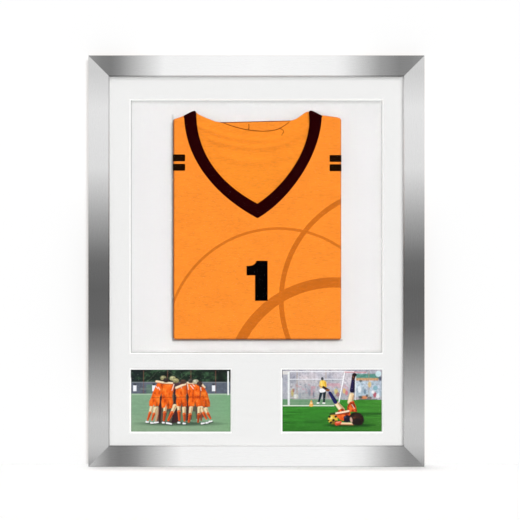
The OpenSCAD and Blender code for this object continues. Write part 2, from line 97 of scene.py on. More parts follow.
class Shader:
    """A material under construction, with its patterns laid out in the object's own coordinates."""

    def __init__(self, name, mat=None):
        self.mat = mat or bpy.data.materials.new(name)
        self.mat.use_nodes = True
        self.tree = self.mat.node_tree
        self.bsdf = self.tree.nodes["Principled BSDF"]
        self.place = self.node("TexCoord").outputs["Object"]
        split = self.node("SeparateXYZ")
        self.tree.links.new(self.place, split.inputs[0])
        self.x, self.y, self.z = split.outputs

    def node(self, kind, **settings):
        return new_node(self.tree, kind, **settings)

    def put(self, socket, value):
        if isinstance(value, bpy.types.NodeSocket):
            self.tree.links.new(value, socket)
        else:
            socket.default_value = value

    def math(self, operation, *values):
        made = self.node("Math", operation=operation)
        for socket, value in zip(made.inputs, values):
            self.put(socket, value)
        return made.outputs[0]

    def plus(self, a, b):
        return self.math("ADD", a, b)

    def minus(self, a, b):
        return self.math("SUBTRACT", a, b)

    def times(self, a, b):
        return self.math("MULTIPLY", a, b)

    def larger(self, a, b):
        return self.math("MAXIMUM", a, b)

    def facing(self):
        """The three parts of the surface's own direction."""
        made = self.node("SeparateXYZ")
        self.put(made.inputs[0], self.node("NewGeometry").outputs["True Normal"])
        return made.outputs

    def scaled(self, scale):
        made = self.node("VectorMath", operation="MULTIPLY")
        self.put(made.inputs[0], self.place)
        made.inputs[1].default_value = scale
        return made.outputs[0]

    def noise(self, scale, detail=2.0, roughness=0.5, stretch=None):
        made = self.node("TexNoise")
        self.put(made.inputs["Vector"], self.scaled(stretch) if stretch else self.place)
        made.inputs["Scale"].default_value = scale
        made.inputs["Detail"].default_value = detail
        made.inputs["Roughness"].default_value = roughness
        return made.outputs[0]

    def spread(self, value, lo, hi, to_lo=0.0, to_hi=1.0, smooth=False):
        """value from lo to hi, spread over to_lo to to_hi and held at its ends."""
        made = self.node("MapRange")
        made.interpolation_type = "SMOOTHSTEP" if smooth else "LINEAR"
        made.clamp = True
        self.put(made.inputs["Value"], value)
        made.inputs["From Min"].default_value = lo
        made.inputs["From Max"].default_value = hi
        made.inputs["To Min"].default_value = to_lo
        made.inputs["To Max"].default_value = to_hi
        return made.outputs[0]

    def ramp(self, value, stops):
        made = self.node("ValToRGB")
        set_stops(made.color_ramp, stops)
        self.put(made.inputs[0], value)
        return made.outputs[0]

    def mix(self, factor, a, b):
        made = self.node("Mix", data_type="RGBA")
        self.put(made.inputs[0], factor)
        self.put(made.inputs[6], a)
        self.put(made.inputs[7], b)
        return made.outputs[2]

    def shade(self, colour, value):
        """colour times a grey value."""
        made = self.node("VectorMath", operation="SCALE")
        self.put(made.inputs[0], colour[:3] if isinstance(colour, tuple) else colour)
        self.put(made.inputs["Scale"], value)
        return made.outputs[0]

    def bump(self, height, distance, strength=1.0, under=None):
        made = self.node("Bump")
        made.inputs["Distance"].default_value = distance
        made.inputs["Strength"].default_value = strength
        self.put(made.inputs["Height"], height)
        if under:
            self.put(made.inputs["Normal"], under)
        return made.outputs[0]

    def finish(self, **inputs):
        """Fills in the surface's inputs, named with _ for each space, and gives back the material."""
        for name, value in inputs.items():
            self.put(self.bsdf.inputs[name.replace("_", " ")], value)
        return self.mat


def dress(node, material):
    """Gives a carried-over CAD node its material."""
    slots = NODES[node].material_slots
    if not len(slots):
        NODES[node].data.materials.append(material)
    for slot in slots:
        slot.material = material


# ------------------------------------------------------------------ silver moulding

# Painted reflections: the tone of the brushed silver along each rail as it looks in the soft studio light,
# painted into its colour, as (position in mm, 0 to 255). The top and bottom rails shade off towards both ends,
# and the side rails have a dark band low down.
TOP_REFLECTION_TONES = [(-284, 150), (-262, 130), (-246, 126), (-232, 143), (-156, 243), (0, 249),
             (133, 244), (148, 236), (209, 159), (242, 133), (262, 136), (284, 150)]
BOTTOM_REFLECTION_TONES = [(-284, 195), (-248, 134), (-232, 124), (-216, 131), (-202, 147), (-126, 244),
                (148, 246), (179, 235), (224, 177), (255, 143), (270, 140), (284, 150)]
SIDE_REFLECTION_TONES = [(0, 150), (20, 184), (40, 197), (80, 200), (200, 127), (240, 103), (300, 98),
              (345, 108), (364, 121), (424, 167), (505, 222), (607, 229), (668, 208), (696, 210)]


def inside_rebate(s):
    """1 inside the rectangle where the glass and boards lie, 0 in the rest of the moulding."""
    gap = 1.6 * MM
    lo, hi = (Vector(v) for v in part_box("glazing_sheet"))
    middle = (lo + hi) / 2
    half = (hi - lo) / 2
    dx = s.math("ABSOLUTE", s.minus(s.x, middle.x))
    dz = s.math("ABSOLUTE", s.minus(s.z, middle.z))
    near_x = s.math("LESS_THAN", dx, half.x + gap)
    return s.times(near_x, s.math("LESS_THAN", dz, half.z + gap))


def silver(name, tones, along_x):
    """Brushed silver foil over timber, with painted reflections along the rail in its colour."""
    s = Shader(name)
    lo, hi = tones[0][0], tones[-1][0]
    # the foil's colour carries painted reflections that change along the rail
    at = s.spread(s.x if along_x else s.z, lo * MM, hi * MM)
    foil_and_reflection = s.ramp(at, [((p - lo) / (hi - lo), linear(tone, tone, tone)) for p, tone in tones])
    brush = (14, 900, 900) if along_x else (900, 900, 14)
    lines = s.noise(1.0, 3.0, 0.6, stretch=brush)
    clouds = s.noise(9.0, 2.0, 0.5)
    tone = s.plus(s.spread(lines, 0.3, 0.7, 0.992, 1.006), s.spread(clouds, 0.3, 0.7, -0.01, 0.01))
    if not along_x:
        # painted shade: the left rail's sight chamfer is darkened where it turns away from the light
        slope = s.times(s.spread(s.facing()[0], 0.3, 0.6), s.math("LESS_THAN", s.x, 0.0))
        tone = s.minus(tone, s.times(slope, 0.22))
    foil_and_reflection = s.shade(foil_and_reflection, tone)
    # the foil stops just short of the back, which is bare timber
    foil_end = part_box("top_rail")[1][1] - 1.1 * MM
    behind = s.math("GREATER_THAN", s.y, foil_end)
    deeper = s.math("GREATER_THAN", s.y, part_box("glazing_sheet")[0][1] + 0.05 * MM)
    inside = s.times(deeper, inside_rebate(s))
    bare = s.larger(behind, inside)
    grain = s.noise(1.0, 5.0, 0.65, stretch=(8, 160, 160) if along_x else (160, 160, 8))
    wood = [(0.25, linear(168, 128, 84)), (0.5, linear(196, 158, 110)), (0.8, linear(214, 180, 134))]
    timber = s.ramp(grain, wood)
    colour = s.mix(bare, foil_and_reflection, timber)
    metal = s.minus(1.0, bare)
    rough = s.plus(s.spread(lines, 0.3, 0.7, 0.24, 0.34), s.times(bare, 0.3))
    return s.finish(
        Base_Color=colour,
        Metallic=metal,
        Roughness=rough,
        Anisotropic=0.6,
        Normal=s.bump(lines, 0.00003, 0.12),
    )


dress("top_rail", silver("silver_top", TOP_REFLECTION_TONES, True))
dress("bottom_rail", silver("silver_bottom", BOTTOM_REFLECTION_TONES, True))
silver_side = silver("silver_side", SIDE_REFLECTION_TONES, False)
dress("left_rail", silver_side)
dress("right_rail", silver_side)


# ------------------------------------------------------------------ boards, glass and hardware

def card(name, face, core=None):
    """Fine paper over card. core is the colour of a cut bevel."""
    s = Shader(name)
    fibre = s.noise(420.0, 5.0, 0.7)
    tooth = s.noise(1600.0, 2.0, 0.5)
    cloud = s.noise(6.0, 2.0, 0.5)
    tone = s.plus(s.spread(fibre, 0.25, 0.75, 0.985, 1.012), s.spread(cloud, 0.3, 0.7, -0.004, 0.004))
    colour = s.shade(face, tone)
    if core:
        normal = s.facing()
        cut = s.math("LESS_THAN", s.math("ABSOLUTE", normal[1]), 0.9)
        colour = s.mix(cut, colour, core)
        # painted shade: a grey line at the back of the big window's bevel, above the small windows, strongest on
        # the window's left and lower bevels, faint on the right and absent at the top
        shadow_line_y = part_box("mount_board")[1][1] - 0.8 * MM
        small_windows_top = 150 * MM
        painted_shadow_line = s.math("GREATER_THAN", s.y, shadow_line_y)
        painted_shadow_line = s.times(painted_shadow_line, s.math("GREATER_THAN", s.z, small_windows_top))
        left = s.spread(normal[0], 0.3, 0.7)
        right = s.spread(normal[0], -0.3, -0.7, 0.0, 0.3)
        low = s.spread(normal[2], 0.3, 0.7, 0.0, 0.9)
        painted_shadow_line = s.times(painted_shadow_line, s.plus(s.plus(left, right), low))
        colour = s.mix(s.times(painted_shadow_line, cut), colour, linear(112, 112, 112))
    height = s.plus(fibre, s.times(tooth, 0.4))
    return s.finish(Base_Color=colour, Roughness=0.88, Normal=s.bump(height, 0.00008, 0.35))


dress("mount_board", card("mount_card", shade_of(234.5, 234.5, 233.7), core=linear(254, 254, 253)))


def shirt_card():
    """The board's white, with a painted contact shadow in the narrow gap along the jersey's left and lower
    edges.
    """
    mat = card("shirt_card", shade_of(239.6, 240.0, 239.2))
    s = Shader("shirt_card", mat)
    (x0, _, z0), (x1, _, z1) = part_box("jersey_front_panel")
    left, low = s.minus(x0, s.x), s.minus(z0, s.z)
    off_x = s.larger(s.larger(left, s.minus(s.x, x1)), 0.0)
    off_z = s.larger(s.larger(low, s.minus(s.z, z1)), 0.0)
    off = s.math("SQRT", s.plus(s.times(off_x, off_x), s.times(off_z, off_z)))
    near = s.spread(off, 0.0, 4.6 * MM, 1.0, 0.0, smooth=True)
    beside = s.spread(left, -1 * MM, 0.5 * MM, 0.0, 0.36)
    below = s.spread(low, -1 * MM, 0.5 * MM, 0.0, 0.56)
    share = s.larger(beside, below)
    under = s.bsdf.inputs["Base Color"].links[0].from_socket
    return s.finish(Base_Color=s.shade(under, s.minus(1.0, s.times(near, share))))


dress("shirt_backing_board", shirt_card())
spacer_card = card("spacer_card", linear(238, 238, 236))
for node in ("spacer_top", "spacer_bottom", "spacer_left", "spacer_right", "spacer_middle"):
    dress(node, spacer_card)
backing_card = card("backing_card", linear(222, 219, 208))
for node in ("photo_backer_left", "photo_backer_right", "shirt_form_board"):
    dress(node, backing_card)
dress("photo_tapes", card("gummed_tape", linear(232, 222, 192)))


def pane():
    s = Shader("clear_glass")
    s.mat.surface_render_method = "BLENDED"
    haze = s.noise(5.0, 2.0, 0.5)
    return s.finish(
        Base_Color=linear(18, 26, 24),
        Roughness=s.spread(haze, 0.3, 0.7, 0.02, 0.05),
        IOR=1.5,
        Alpha=0.012,
    )


dress("glazing_sheet", pane())


def hardboard():
    s = Shader("hardboard")
    fibre = s.noise(260.0, 6.0, 0.7)
    cloud = s.noise(11.0, 3.0, 0.6)
    fleck = s.noise(900.0, 2.0, 0.5)
    colour = s.ramp(
        s.plus(s.times(fibre, 0.6), s.times(cloud, 0.4)),
        [(0.3, linear(112, 78, 50)), (0.5, linear(141, 102, 68)), (0.7, linear(160, 120, 82))],
    )
    colour = s.shade(colour, s.spread(fleck, 0.55, 0.75, 1.0, 0.82))
    return s.finish(Base_Color=colour, Roughness=s.spread(fibre, 0.3, 0.7, 0.42, 0.6),
                    Normal=s.bump(fibre, 0.00012, 0.4))


dress("rear_backboard", hardboard())


def plated(name, light, dark, rough):
    """Plated steel with a faint crystalline bloom and fine scratches."""
    s = Shader(name)
    bloom = s.noise(700.0, 3.0, 0.6)
    scratch = s.noise(1.0, 3.0, 0.7, stretch=(2600, 2600, 240))
    colour = s.mix(s.spread(bloom, 0.35, 0.65), dark, light)
    roughness = s.plus(s.spread(scratch, 0.35, 0.65, rough - 0.05, rough + 0.07),
                       s.spread(bloom, 0.3, 0.7, -0.03, 0.03))
    return s.finish(Base_Color=colour, Metallic=1.0, Roughness=roughness,
                    Normal=s.bump(scratch, 0.00002, 0.3))


zinc = plated("zinc_plate", linear(206, 208, 208), linear(176, 178, 180), 0.36)
yellow_zinc = plated("yellow_zinc_plate", linear(222, 200, 140), linear(198, 176, 122), 0.32)
nickel = plated("nickel_plate", linear(222, 219, 210), linear(200, 197, 190), 0.2)
for node in NODES:
    if node.startswith("button_") and node != "button_screws":
        dress(node, zinc)
dress("corner_v_nails", zinc)
dress("button_screws", yellow_zinc)
dress("hanger_screws", nickel)
for node in ("hanger_strap_left", "hanger_strap_right", "hanger_ring_left", "hanger_ring_right"):
    dress(node, nickel)


def rubber():
    s = Shader("black_rubber")
    grit = s.noise(1500.0, 3.0, 0.6)
    dust = s.noise(160.0, 3.0, 0.6)
    colour = s.mix(s.spread(dust, 0.45, 0.75, 0.0, 0.5), linear(26, 26, 27), linear(62, 60, 57))
    return s.finish(Base_Color=colour, Roughness=s.spread(dust, 0.3, 0.7, 0.62, 0.8),
                    Normal=s.bump(grit, 0.00006, 0.5))


dress("wall_bumpers", rubber())


# ------------------------------------------------------------------ jersey cloth

ORANGE = shade_of(261, 146, 42)
DEEP = shade_of(211, 108, 12)


def knit(s, wale, course):
    """Height, 0 to 1, of a plain knit: columns of V stitches. wale and course are the pitches in metres."""
    column = s.math("PINGPONG", s.math("DIVIDE", s.x, wale), 0.5)
    slant = s.plus(s.math("DIVIDE", s.z, course), s.times(column, 1.1))
    loop = s.math("SINE", s.times(slant, 2 * math.pi))
    loop = s.spread(loop, -1.0, 1.0)
    groove = s.spread(s.math("ABSOLUTE", s.minus(column, 0.25)), 0.25, 0.06)
    return s.times(loop, groove)


def orange_cloth(name, base=ORANGE, arcs=False, wale=1.05 * MM, course=0.8 * MM):
    s = Shader(name)
    height = knit(s, wale, course)
    streak = s.noise(1.0, 2.0, 0.55, stretch=(110, 300, 620))
    heather = s.noise(1.0, 3.0, 0.7, stretch=(330, 300, 480))
    cloud = s.noise(1.0, 3.0, 0.55, stretch=(16, 14, 30))
    colour = base
    if arcs:
        colour = s.mix(printed_arcs(s), base, DEEP)
    tone = s.plus(s.spread(streak, 0.3, 0.7, 0.925, 1.075), s.spread(heather, 0.25, 0.75, -0.1, 0.12))
    tone = s.plus(tone, s.spread(cloud, 0.3, 0.7, -0.05, 0.04))
    # painted shade and highlight: the knit's grooves a little darker and its loops a little lighter
    tone = s.plus(tone, s.spread(height, 0.0, 0.6, -0.05, 0.02))
    if arcs:
        # painted shade: the folded edges are darkened where they roll away from the light
        (x0, _, z0), (x1, _, _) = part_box("jersey_front_panel")
        left = s.spread(s.minus(s.x, x0), 0.2 * MM, 3.2 * MM, 0.22, 1.0)
        right = s.spread(s.minus(x1, s.x), 0.2 * MM, 2.4 * MM, 0.68, 1.0)
        low = s.spread(s.minus(s.z, z0), 0.2 * MM, 3.0 * MM, 0.45, 1.0)
        tone = s.times(tone, s.math("MINIMUM", s.math("MINIMUM", left, right), low))
    colour = s.shade(colour, tone)
    return s.finish(
        Base_Color=colour,
        Roughness=0.82,
        Sheen_Weight=0.12,
        Sheen_Roughness=0.45,
        Normal=s.bump(height, 0.00016, 0.6, under=s.bump(streak, 0.00012, 0.2)),
    )


def ring_mask(s, cx, cz, radius, width, squash=1.0):
    """1 on a ring, with its middle, radius and width in mm. squash flattens it upwards."""
    dx = s.minus(s.x, cx * MM)
    dz = s.times(s.minus(s.z, cz * MM), squash)
    r = s.math("SQRT", s.plus(s.times(dx, dx), s.times(dz, dz)))
    off = s.math("ABSOLUTE", s.minus(r, radius * MM))
    return s.spread(off, (width / 2 + 0.35) * MM, (width / 2 - 0.35) * MM)


def printed_arcs(s):
    one = s.times(ring_mask(s, 37.4, 207.7, 191.4, 4.4, 191.4 / 195.6), 0.86)
    two = ring_mask(s, 133.3, 131.9, 179.8, 17.4)
    three = ring_mask(s, 230.8, 282.3, 188.6, 8.2)
    crossing = s.larger(s.larger(one, two), three)
    return s.times(crossing, 0.97)


def flock(name, base, light):
    """A fine, fuzzy surface without gloss."""
    s = Shader(name)
    fuzz = s.noise(2600.0, 3.0, 0.7)
    cloud = s.noise(120.0, 2.0, 0.5)
    colour = s.mix(s.spread(s.plus(fuzz, s.times(cloud, 0.3)), 0.5, 0.9), base, light)
    return s.finish(Base_Color=colour, Roughness=0.9, Specular_IOR_Level=0.0,
                    Normal=s.bump(fuzz, 0.0001, 0.5))


def rib_cloth():
    s = Shader("dark_rib")
    fuzz = s.noise(2200.0, 3.0, 0.7)
    cloud = s.noise(60.0, 2.0, 0.5)
    tone = s.plus(s.times(fuzz, 0.7), s.times(cloud, 0.3))
    colour = s.mix(s.spread(tone, 0.35, 0.7), linear(28, 0, 1), linear(37, 1, 3))
    return s.finish(Base_Color=colour, Roughness=0.9, Specular_IOR_Level=0.0,
                    Normal=s.bump(fuzz, 0.0001, 0.4))


front_cloth = orange_cloth("orange_knit_front", arcs=True)
plain_cloth = orange_cloth("orange_knit")
inner_cloth = orange_cloth("orange_knit_inside", base=shade_of(259, 147, 37))
facing_cloth = orange_cloth("orange_knit_facing", base=shade_of(258, 147, 42), wale=0.8 * MM, course=0.6 * MM)
black_flock = flock("black_flock", linear(0, 0, 0), linear(3, 2, 4))
stripe_flock = flock("stripe_flock", linear(23, 8, 1), linear(31, 13, 4))
dark_rib = rib_cloth()
thread = flock("brown_thread", linear(112, 54, 12), linear(148, 78, 24))


def edge_depths(node):
    """The depths, along Y, of a node's front and back."""
    lo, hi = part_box(node)
    return lo[1], hi[1]


FRONT_Y, FOLD_Y = edge_depths("jersey_front_panel")
BACK_Y = edge_depths("jersey_back_panel")[0]
TAIL_Y = edge_depths("jersey_lower_fold")[1]
(LEFT, _, BOTTOM), (RIGHT, _, _) = (tuple(v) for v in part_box("jersey_front_panel"))
SIDE_R = (FOLD_Y - FRONT_Y) / 2
BASE_R = (TAIL_Y - FRONT_Y) / 2
CURVE_L = LEFT + SIDE_R
CURVE_R = RIGHT - SIDE_R
CURVE_B = BOTTOM + BASE_R


def cubic(a, b, c, d, n=40):
    """n + 1 points in metres along a Bezier curve given in mm."""
    a, b, c, d = (Vector((p[0], p[1])) for p in (a, b, c, d))
    out = []
    for i in range(n + 1):
        t = i / n
        u = 1 - t
        out.append((u * u * u * a + 3 * u * u * t * b + 3 * u * t * t * c + t * t * t * d) * MM)
    return out


# the neckband's outer and inner edges, left and right of its point
OUT_L = (-123.5, 595.4), (-121.6, 515.1), (-64.2, 455.2), (1.9, 420.1)
IN_L = (-102.2, 599.6), (-102.8, 528.3), (-57.8, 476.3), (1.6, 445.6)
OUT_R = (111.5, 595.2), (109.9, 529.4), (58.5, 452.8), (1.9, 420.1)
IN_R = (88.9, 600.6), (97.8, 542.2), (47.7, 475.1), (1.6, 445.6)


def wrinkle(x, z, seed=0.0):
    """Depth in metres of the cloth's soft, shallow waves at a point."""
    p = Vector((x * 9, z * 14, seed))
    q = Vector((x * 26 + z * 9, z * 30 - x * 7, seed + 4))
    return (noise.noise(p) * 0.42 + noise.noise(q) * 0.16) * MM


def gap_to(line, x, z):
    """The distance from a point in metres to a line of points in mm."""
    best = 1.0
    for (ax, az), (bx, bz) in zip(line, line[1:]):
        ax, az, bx, bz = ax * MM, az * MM, bx * MM, bz * MM
        dx, dz = bx - ax, bz - az
        t = max(0.0, min(1.0, ((x - ax) * dx + (z - az) * dz) / (dx * dx + dz * dz)))
        best = min(best, math.hypot(x - ax - t * dx, z - az - t * dz))
    return best


def shoulder_drop(x, z, line):
    """How far cloth near the folded shoulder line has turned back."""
    radius = 3.0 * MM
    best = gap_to(line, x, z)
    if best >= radius:
        return 0.0
    return radius - math.sqrt(max(0.0, radius * radius - (radius - best) ** 2))


SHOULDERS = [
    [(-150.0, 584.4), (-139.4, 589.2), (-123.5, 595.4), (-118.0, 597.6)],
    [(105.0, 596.2), (111.5, 595.2), (136.0, 592.9), (141.6, 590.4), (152.0, 584.4)],
]


def lay(u, w, out=0.0):
    """Where a point of the flat front panel goes once it is folded. out lifts it off the cloth."""
    x, turn_x = u, 0.0
    r = SIDE_R + out
    if u > CURVE_R:
        turn_x = min((u - CURVE_R) / SIDE_R, math.pi)
        x = CURVE_R + r * math.sin(turn_x) - max(0.0, u - CURVE_R - math.pi * SIDE_R)
    elif u < CURVE_L:
        turn_x = min((CURVE_L - u) / SIDE_R, math.pi)
        x = CURVE_L - r * math.sin(turn_x) + max(0.0, CURVE_L - u - math.pi * SIDE_R)
    back = SIDE_R - r * math.cos(turn_x)
    z = w
    if w < CURVE_B:
        turn_z = min((CURVE_B - w) / BASE_R, math.pi / 2)
        across, down = math.sin(turn_x), math.sin(turn_z)
        # the two folds meet in a rounded corner
        shrink = max(across, down) / max(math.hypot(across, down), 1e-9) if turn_x < math.pi / 2 else 1.0
        if u < CURVE_L:
            x = CURVE_L + (x - CURVE_L) * shrink
        elif u > CURVE_R:
            x = CURVE_R + (x - CURVE_R) * shrink
        z = CURVE_B - (BASE_R + out) * down * shrink
        back += BASE_R * (1 - math.cos(turn_z)) * (1 - turn_x / math.pi)
    for line in SHOULDERS:
        back += shoulder_drop(x, z, line) * (1 - turn_x / math.pi)
    wave = wrinkle(x, z) * math.cos(turn_x / 2) ** 2
    return Vector((x, FRONT_Y + 0.35 * MM + back + wave, z))


def triangulated(outline, step):
    """Points and faces that fill a flat outline with an even grid. The outline is in metres."""
    pts = [Vector((p[0], p[1])) for p in outline]
    n = len(pts)
    edges = [(i, (i + 1) % n) for i in range(n)]
    xs = [p.x for p in pts]
    ys = [p.y for p in pts]
    dense = []
    nx = int((max(xs) - min(xs)) / step) + 1
    ny = int((max(ys) - min(ys)) / step) + 1
    ax, ay = np.array(xs), np.array(ys)
    bx, by = np.roll(ax, -1), np.roll(ay, -1)
    dx, dy = bx - ax, by - ay
    length2 = np.maximum(dx * dx + dy * dy, 1e-18)
    for j in range(ny + 1):
        y = min(ys) + (j + 0.5) * step
        for i in range(nx + 1):
            x = min(xs) + (i + 0.25 + 0.5 * (j % 2)) * step
            t = np.clip(((x - ax) * dx + (y - ay) * dy) / length2, 0, 1)
            gap2 = ((x - ax - t * dx) ** 2 + (y - ay - t * dy) ** 2).min()
            if gap2 < (0.45 * step) ** 2:
                continue
            crossings = ((ay > y) != (by > y)) & (x < ax + (y - ay) * dx / np.where(dy == 0, 1e-18, dy))
            if crossings.sum() % 2:
                dense.append(Vector((x, y)))
    verts, _, faces, *_ = delaunay_2d_cdt(pts + dense, edges, [list(range(n))], 1, 1e-7)
    return [tuple(v) for v in verts], faces


def densify(points, step):
    """A closed outline with points added so that none are further apart than about step."""
    out = []
    for a, b in zip(points, points[1:] + points[:1]):
        a, b = Vector((a[0], a[1])), Vector((b[0], b[1]))
        k = max(1, int(round((b - a).length / step)))
        out += [a.lerp(b, i / k) for i in range(k)]
    return out


def placed(name, mesh):
    """The mesh as an object that rides on the frame."""
    obj = bpy.data.objects.new(name, mesh)
    bpy.context.scene.collection.objects.link(obj)
    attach(obj, "frame")
    return obj


def make(name, verts, faces, material):
    """A smooth mesh object with its doubled points merged."""
    mesh = bpy.data.meshes.new(name)
    mesh.from_pydata([tuple(v) for v in verts], [], faces)
    bm = bmesh.new()
    bm.from_mesh(mesh)
    bmesh.ops.remove_doubles(bm, verts=bm.verts, dist=1e-7)
    bmesh.ops.recalc_face_normals(bm, faces=bm.faces)
    bm.to_mesh(mesh)
    bm.free()
    mesh.materials.append(material)
    mesh.shade_smooth()
    return placed(name, mesh)


def face_front(obj):
    """Turns an open sheet's normals to the viewer's side, -Y."""
    mesh = obj.data
    if sum(p.normal.y * p.area for p in mesh.polygons) > 0:
        mesh.flip_normals()


def thicken(obj, thickness, offset=-1.0):
    """Gives a sheet its thickness, behind its face unless offset says otherwise."""
    face_front(obj)
    mod = obj.modifiers.new("thickness", "SOLIDIFY")
    mod.thickness = thickness
    mod.offset = offset
    mod.use_even_offset = False


def mm(points):
    """Points in mm, as points in metres."""
    return [(x * MM, z * MM) for x, z in points]


def folded_side(curve, d, shoulder):
    """The flat panel's outline on one side: its shoulder, the part folded behind, and the lower edge."""
    low = CURVE_B - math.pi / 2 * BASE_R
    flap = [(14 * MM, 583.0 * MM), (14 * MM, 436.0 * MM), (70 * MM, 436.0 * MM), (70 * MM, CURVE_B)]
    hem = [(math.pi, CURVE_B), (math.pi / 2, CURVE_B - 1.2 * MM), (0.9, CURVE_B - 3.4 * MM),
           (0.3, low + 0.6 * MM), (-0.3, low)]
    points = [(curve + d * turn * SIDE_R, z * MM) for turn, z in shoulder]
    points += [(curve + d * (math.pi * SIDE_R + out), z) for out, z in flap]
    return points + [(curve + d * turn * SIDE_R, z) for turn, z in hem]


def front_panel():
    """The front, cut flat and folded behind at its sides. Its neck edge runs a little way under the neckband."""
    under = 0.18
    left = [a.lerp(b, under) for a, b in zip(cubic(*OUT_L), cubic(*IN_L))]
    right = [a.lerp(b, under) for a, b in zip(cubic(*OUT_R), cubic(*IN_R))]
    right_shoulder = [(0.1, 591.2), (0.6, 590.0), (1.1, 588.6), (math.pi / 2, 586.8), (2.2, 584.4)]
    left_shoulder = [(0.45, 589.4), (1.1, 587.8), (math.pi / 2, 586.4), (2.2, 583.6)]
    outline = left + right[::-1][1:] + mm([(136.0, 592.9)])
    outline += folded_side(CURVE_R, 1, right_shoulder) + folded_side(CURVE_L, -1, left_shoulder)[::-1]
    flat, faces = triangulated(densify(outline, 1.6 * MM), 2.8 * MM)
    corners = [[Vector(flat[k]) for k in face] for face in faces]
    area = sum(abs((b - a).cross(c - a)) / 2 for a, b, c in corners)
    obj = make("jersey_front", [lay(u, w) for u, w in flat], faces, front_cloth)
    thicken(obj, 0.9 * MM)
    return obj, area


front, front_area = front_panel()
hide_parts("jersey_front_panel", "jersey_printed_arcs")


def raised(name, outline, material, step, height, base=0.05 * MM):
    """A thin heat-pressed shape that follows the cloth under it."""
    flat, faces = triangulated(densify(outline, step * 0.6), step)
    obj = make(name, [lay(u, w, base + height) for u, w in flat], faces, material)
    thicken(obj, height + 0.1 * MM)
    return obj


NUMBER = mm([(-2.4, 280.5), (18.9, 280.5), (18.9, 348.5), (0, 348.5), (-0.6, 346.8), (-1.6, 344.9),
             (-3, 343.3), (-4.8, 341.9), (-6.8, 340.9), (-9.4, 340.2), (-12.6, 339.8), (-16.8, 339.8),
             (-16.8, 323.8), (-2.4, 323.8)])


def stripe_outline(inner, wrap_end, lo, hi):
    """A bar from wrap_end to inner, in metres, with rounded corners at inner. lo and hi are in mm."""
    d = 1 if inner > wrap_end else -1
    corner = [(1.5, 0.0), (0.6, 0.25), (0.2, 0.7), (0.0, 1.5)]
    low = [(inner - d * back * MM, (lo + up) * MM) for back, up in corner]
    high = [(inner - d * back * MM, (hi - up) * MM) for back, up in corner[::-1]]
    return [(wrap_end, lo * MM), *low, *high, (wrap_end, hi * MM)]


number = raised("jersey_numeral", NUMBER, black_flock, 2.0 * MM, 0.35 * MM)
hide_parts("jersey_number")

WRAP_L = CURVE_L - 0.92 * math.pi * SIDE_R
WRAP_R = CURVE_R + 0.92 * math.pi * SIDE_R
for side, inner, wrap_end, bars in (
    ("left", -121.2, WRAP_L, ((517.6, 529.2), (501.6, 513.2))),
    ("right", 124.3, WRAP_R, ((516.6, 528.2), (500.8, 512.5))),
):
    for k, (lo, hi) in enumerate(bars):
        bar = raised(
            f"jersey_stripe_{side}_{'upper' if k == 0 else 'lower'}",
            stripe_outline(inner * MM, wrap_end, lo, hi),
            stripe_flock, 1.2 * MM, 0.3 * MM,
        )
        if k == 0:
            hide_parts(f"jersey_stripes_{side}")


def neckband():
    """The dark rib, swept along the V as two halves that meet at its point, with its ribs across it."""
    rib = 1.3 * MM
    across = 14
    verts, faces = [], []
    crown = 1.0 * MM
    for out_curve, in_curve, peak in ((OUT_L, IN_L, 1.33), (OUT_R, IN_R, 1.26)):
        out_line, in_line = cubic(*out_curve, 600), cubic(*in_curve, 600)
        middle = [(a + b) / 2 for a, b in zip(out_line, in_line)]
        lengths = [0.0]
        for a, b in zip(middle, middle[1:]):
            lengths.append(lengths[-1] + (b - a).length)
        total = lengths[-1]
        rows = []
        # the top end turns back over the shoulder
        for k in range(9, 0, -1):
            turn = k / 9 * math.pi / 2
            rows.append((out_line[0], in_line[0], turn, -k / 9 * 4.5 * MM))
        count = int(total / (rib / 5))
        i = 0
        for k in range(count + 1):
            s = total * k / count
            while i < len(lengths) - 2 and lengths[i + 1] < s:
                i += 1
            f = (s - lengths[i]) / max(lengths[i + 1] - lengths[i], 1e-12)
            rows.append((out_line[i].lerp(out_line[i + 1], f), in_line[i].lerp(in_line[i + 1], f), 0.0, s))
        base = len(verts)
        for a, b, turn, s in rows:
            along = total - s
            groove = 1 - math.exp(-((along / (0.9 * MM)) ** 2))
            ridge = 0.5 + 0.5 * math.cos(2 * math.pi * s / rib)
            for j in range(across + 1):
                v = j / across
                p = a.lerp(b, v)
                lift = math.sin(math.pi * v) ** 0.35 if 0 < v < 1 else 0.0
                hump = np.interp(v, [0, 0.2, 0.45, 0.7, 0.83, 0.96, 1], [0, 1.1, 2.5, 3.5, 3.8, 2.4, 0.6])
                up = peak * MM * hump * math.sin(turn)
                y = FRONT_Y + 0.55 * MM + wrinkle(p.x, p.y)
                y -= lift * (crown + 0.14 * MM * ridge * groove)
                y += 0.45 * MM * (1 - groove) * lift
                y += 3.0 * MM * (1 - math.cos(turn))
                verts.append(Vector((p.x, y, p.y + up)))
        stride = across + 1
        for r in range(len(rows) - 1):
            for j in range(across):
                q = base + r * stride + j
                faces.append((q, q + 1, q + stride + 1, q + stride))
    obj = make("jersey_neck_rib", verts, faces, dark_rib)
    thicken(obj, 1.1 * MM)
    return obj


band = neckband()
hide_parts("jersey_neckband")


# soft ridges inside the neck: width and depth, then a line of points, all in mm
CREASES = [
    (3, 2.6, [(-101, 579), (-76, 568), (-45, 558.5), (-12, 553.6), (18, 553), (48, 558), (74, 568),
              (92, 578)]),
    (4, 2.6, [(-80, 555), (-52, 547), (-22, 541.8), (8, 540.6), (38, 544.6), (62, 554), (82, 566)]),
    (5.4, 1.7, [(-60, 528), (-30, 519), (0, 516), (30, 519), (55, 528)]),
]


def inner_back(x, z):
    """The depth, along Y, of the back panel's face at a point."""
    y = BACK_Y + 0.1 * MM + wrinkle(x, z, 7.0) * 0.8
    for width, depth, line in CREASES:
        y -= depth * MM * math.exp(-((gap_to(line, x, z) / (width * MM)) ** 2))
    return y
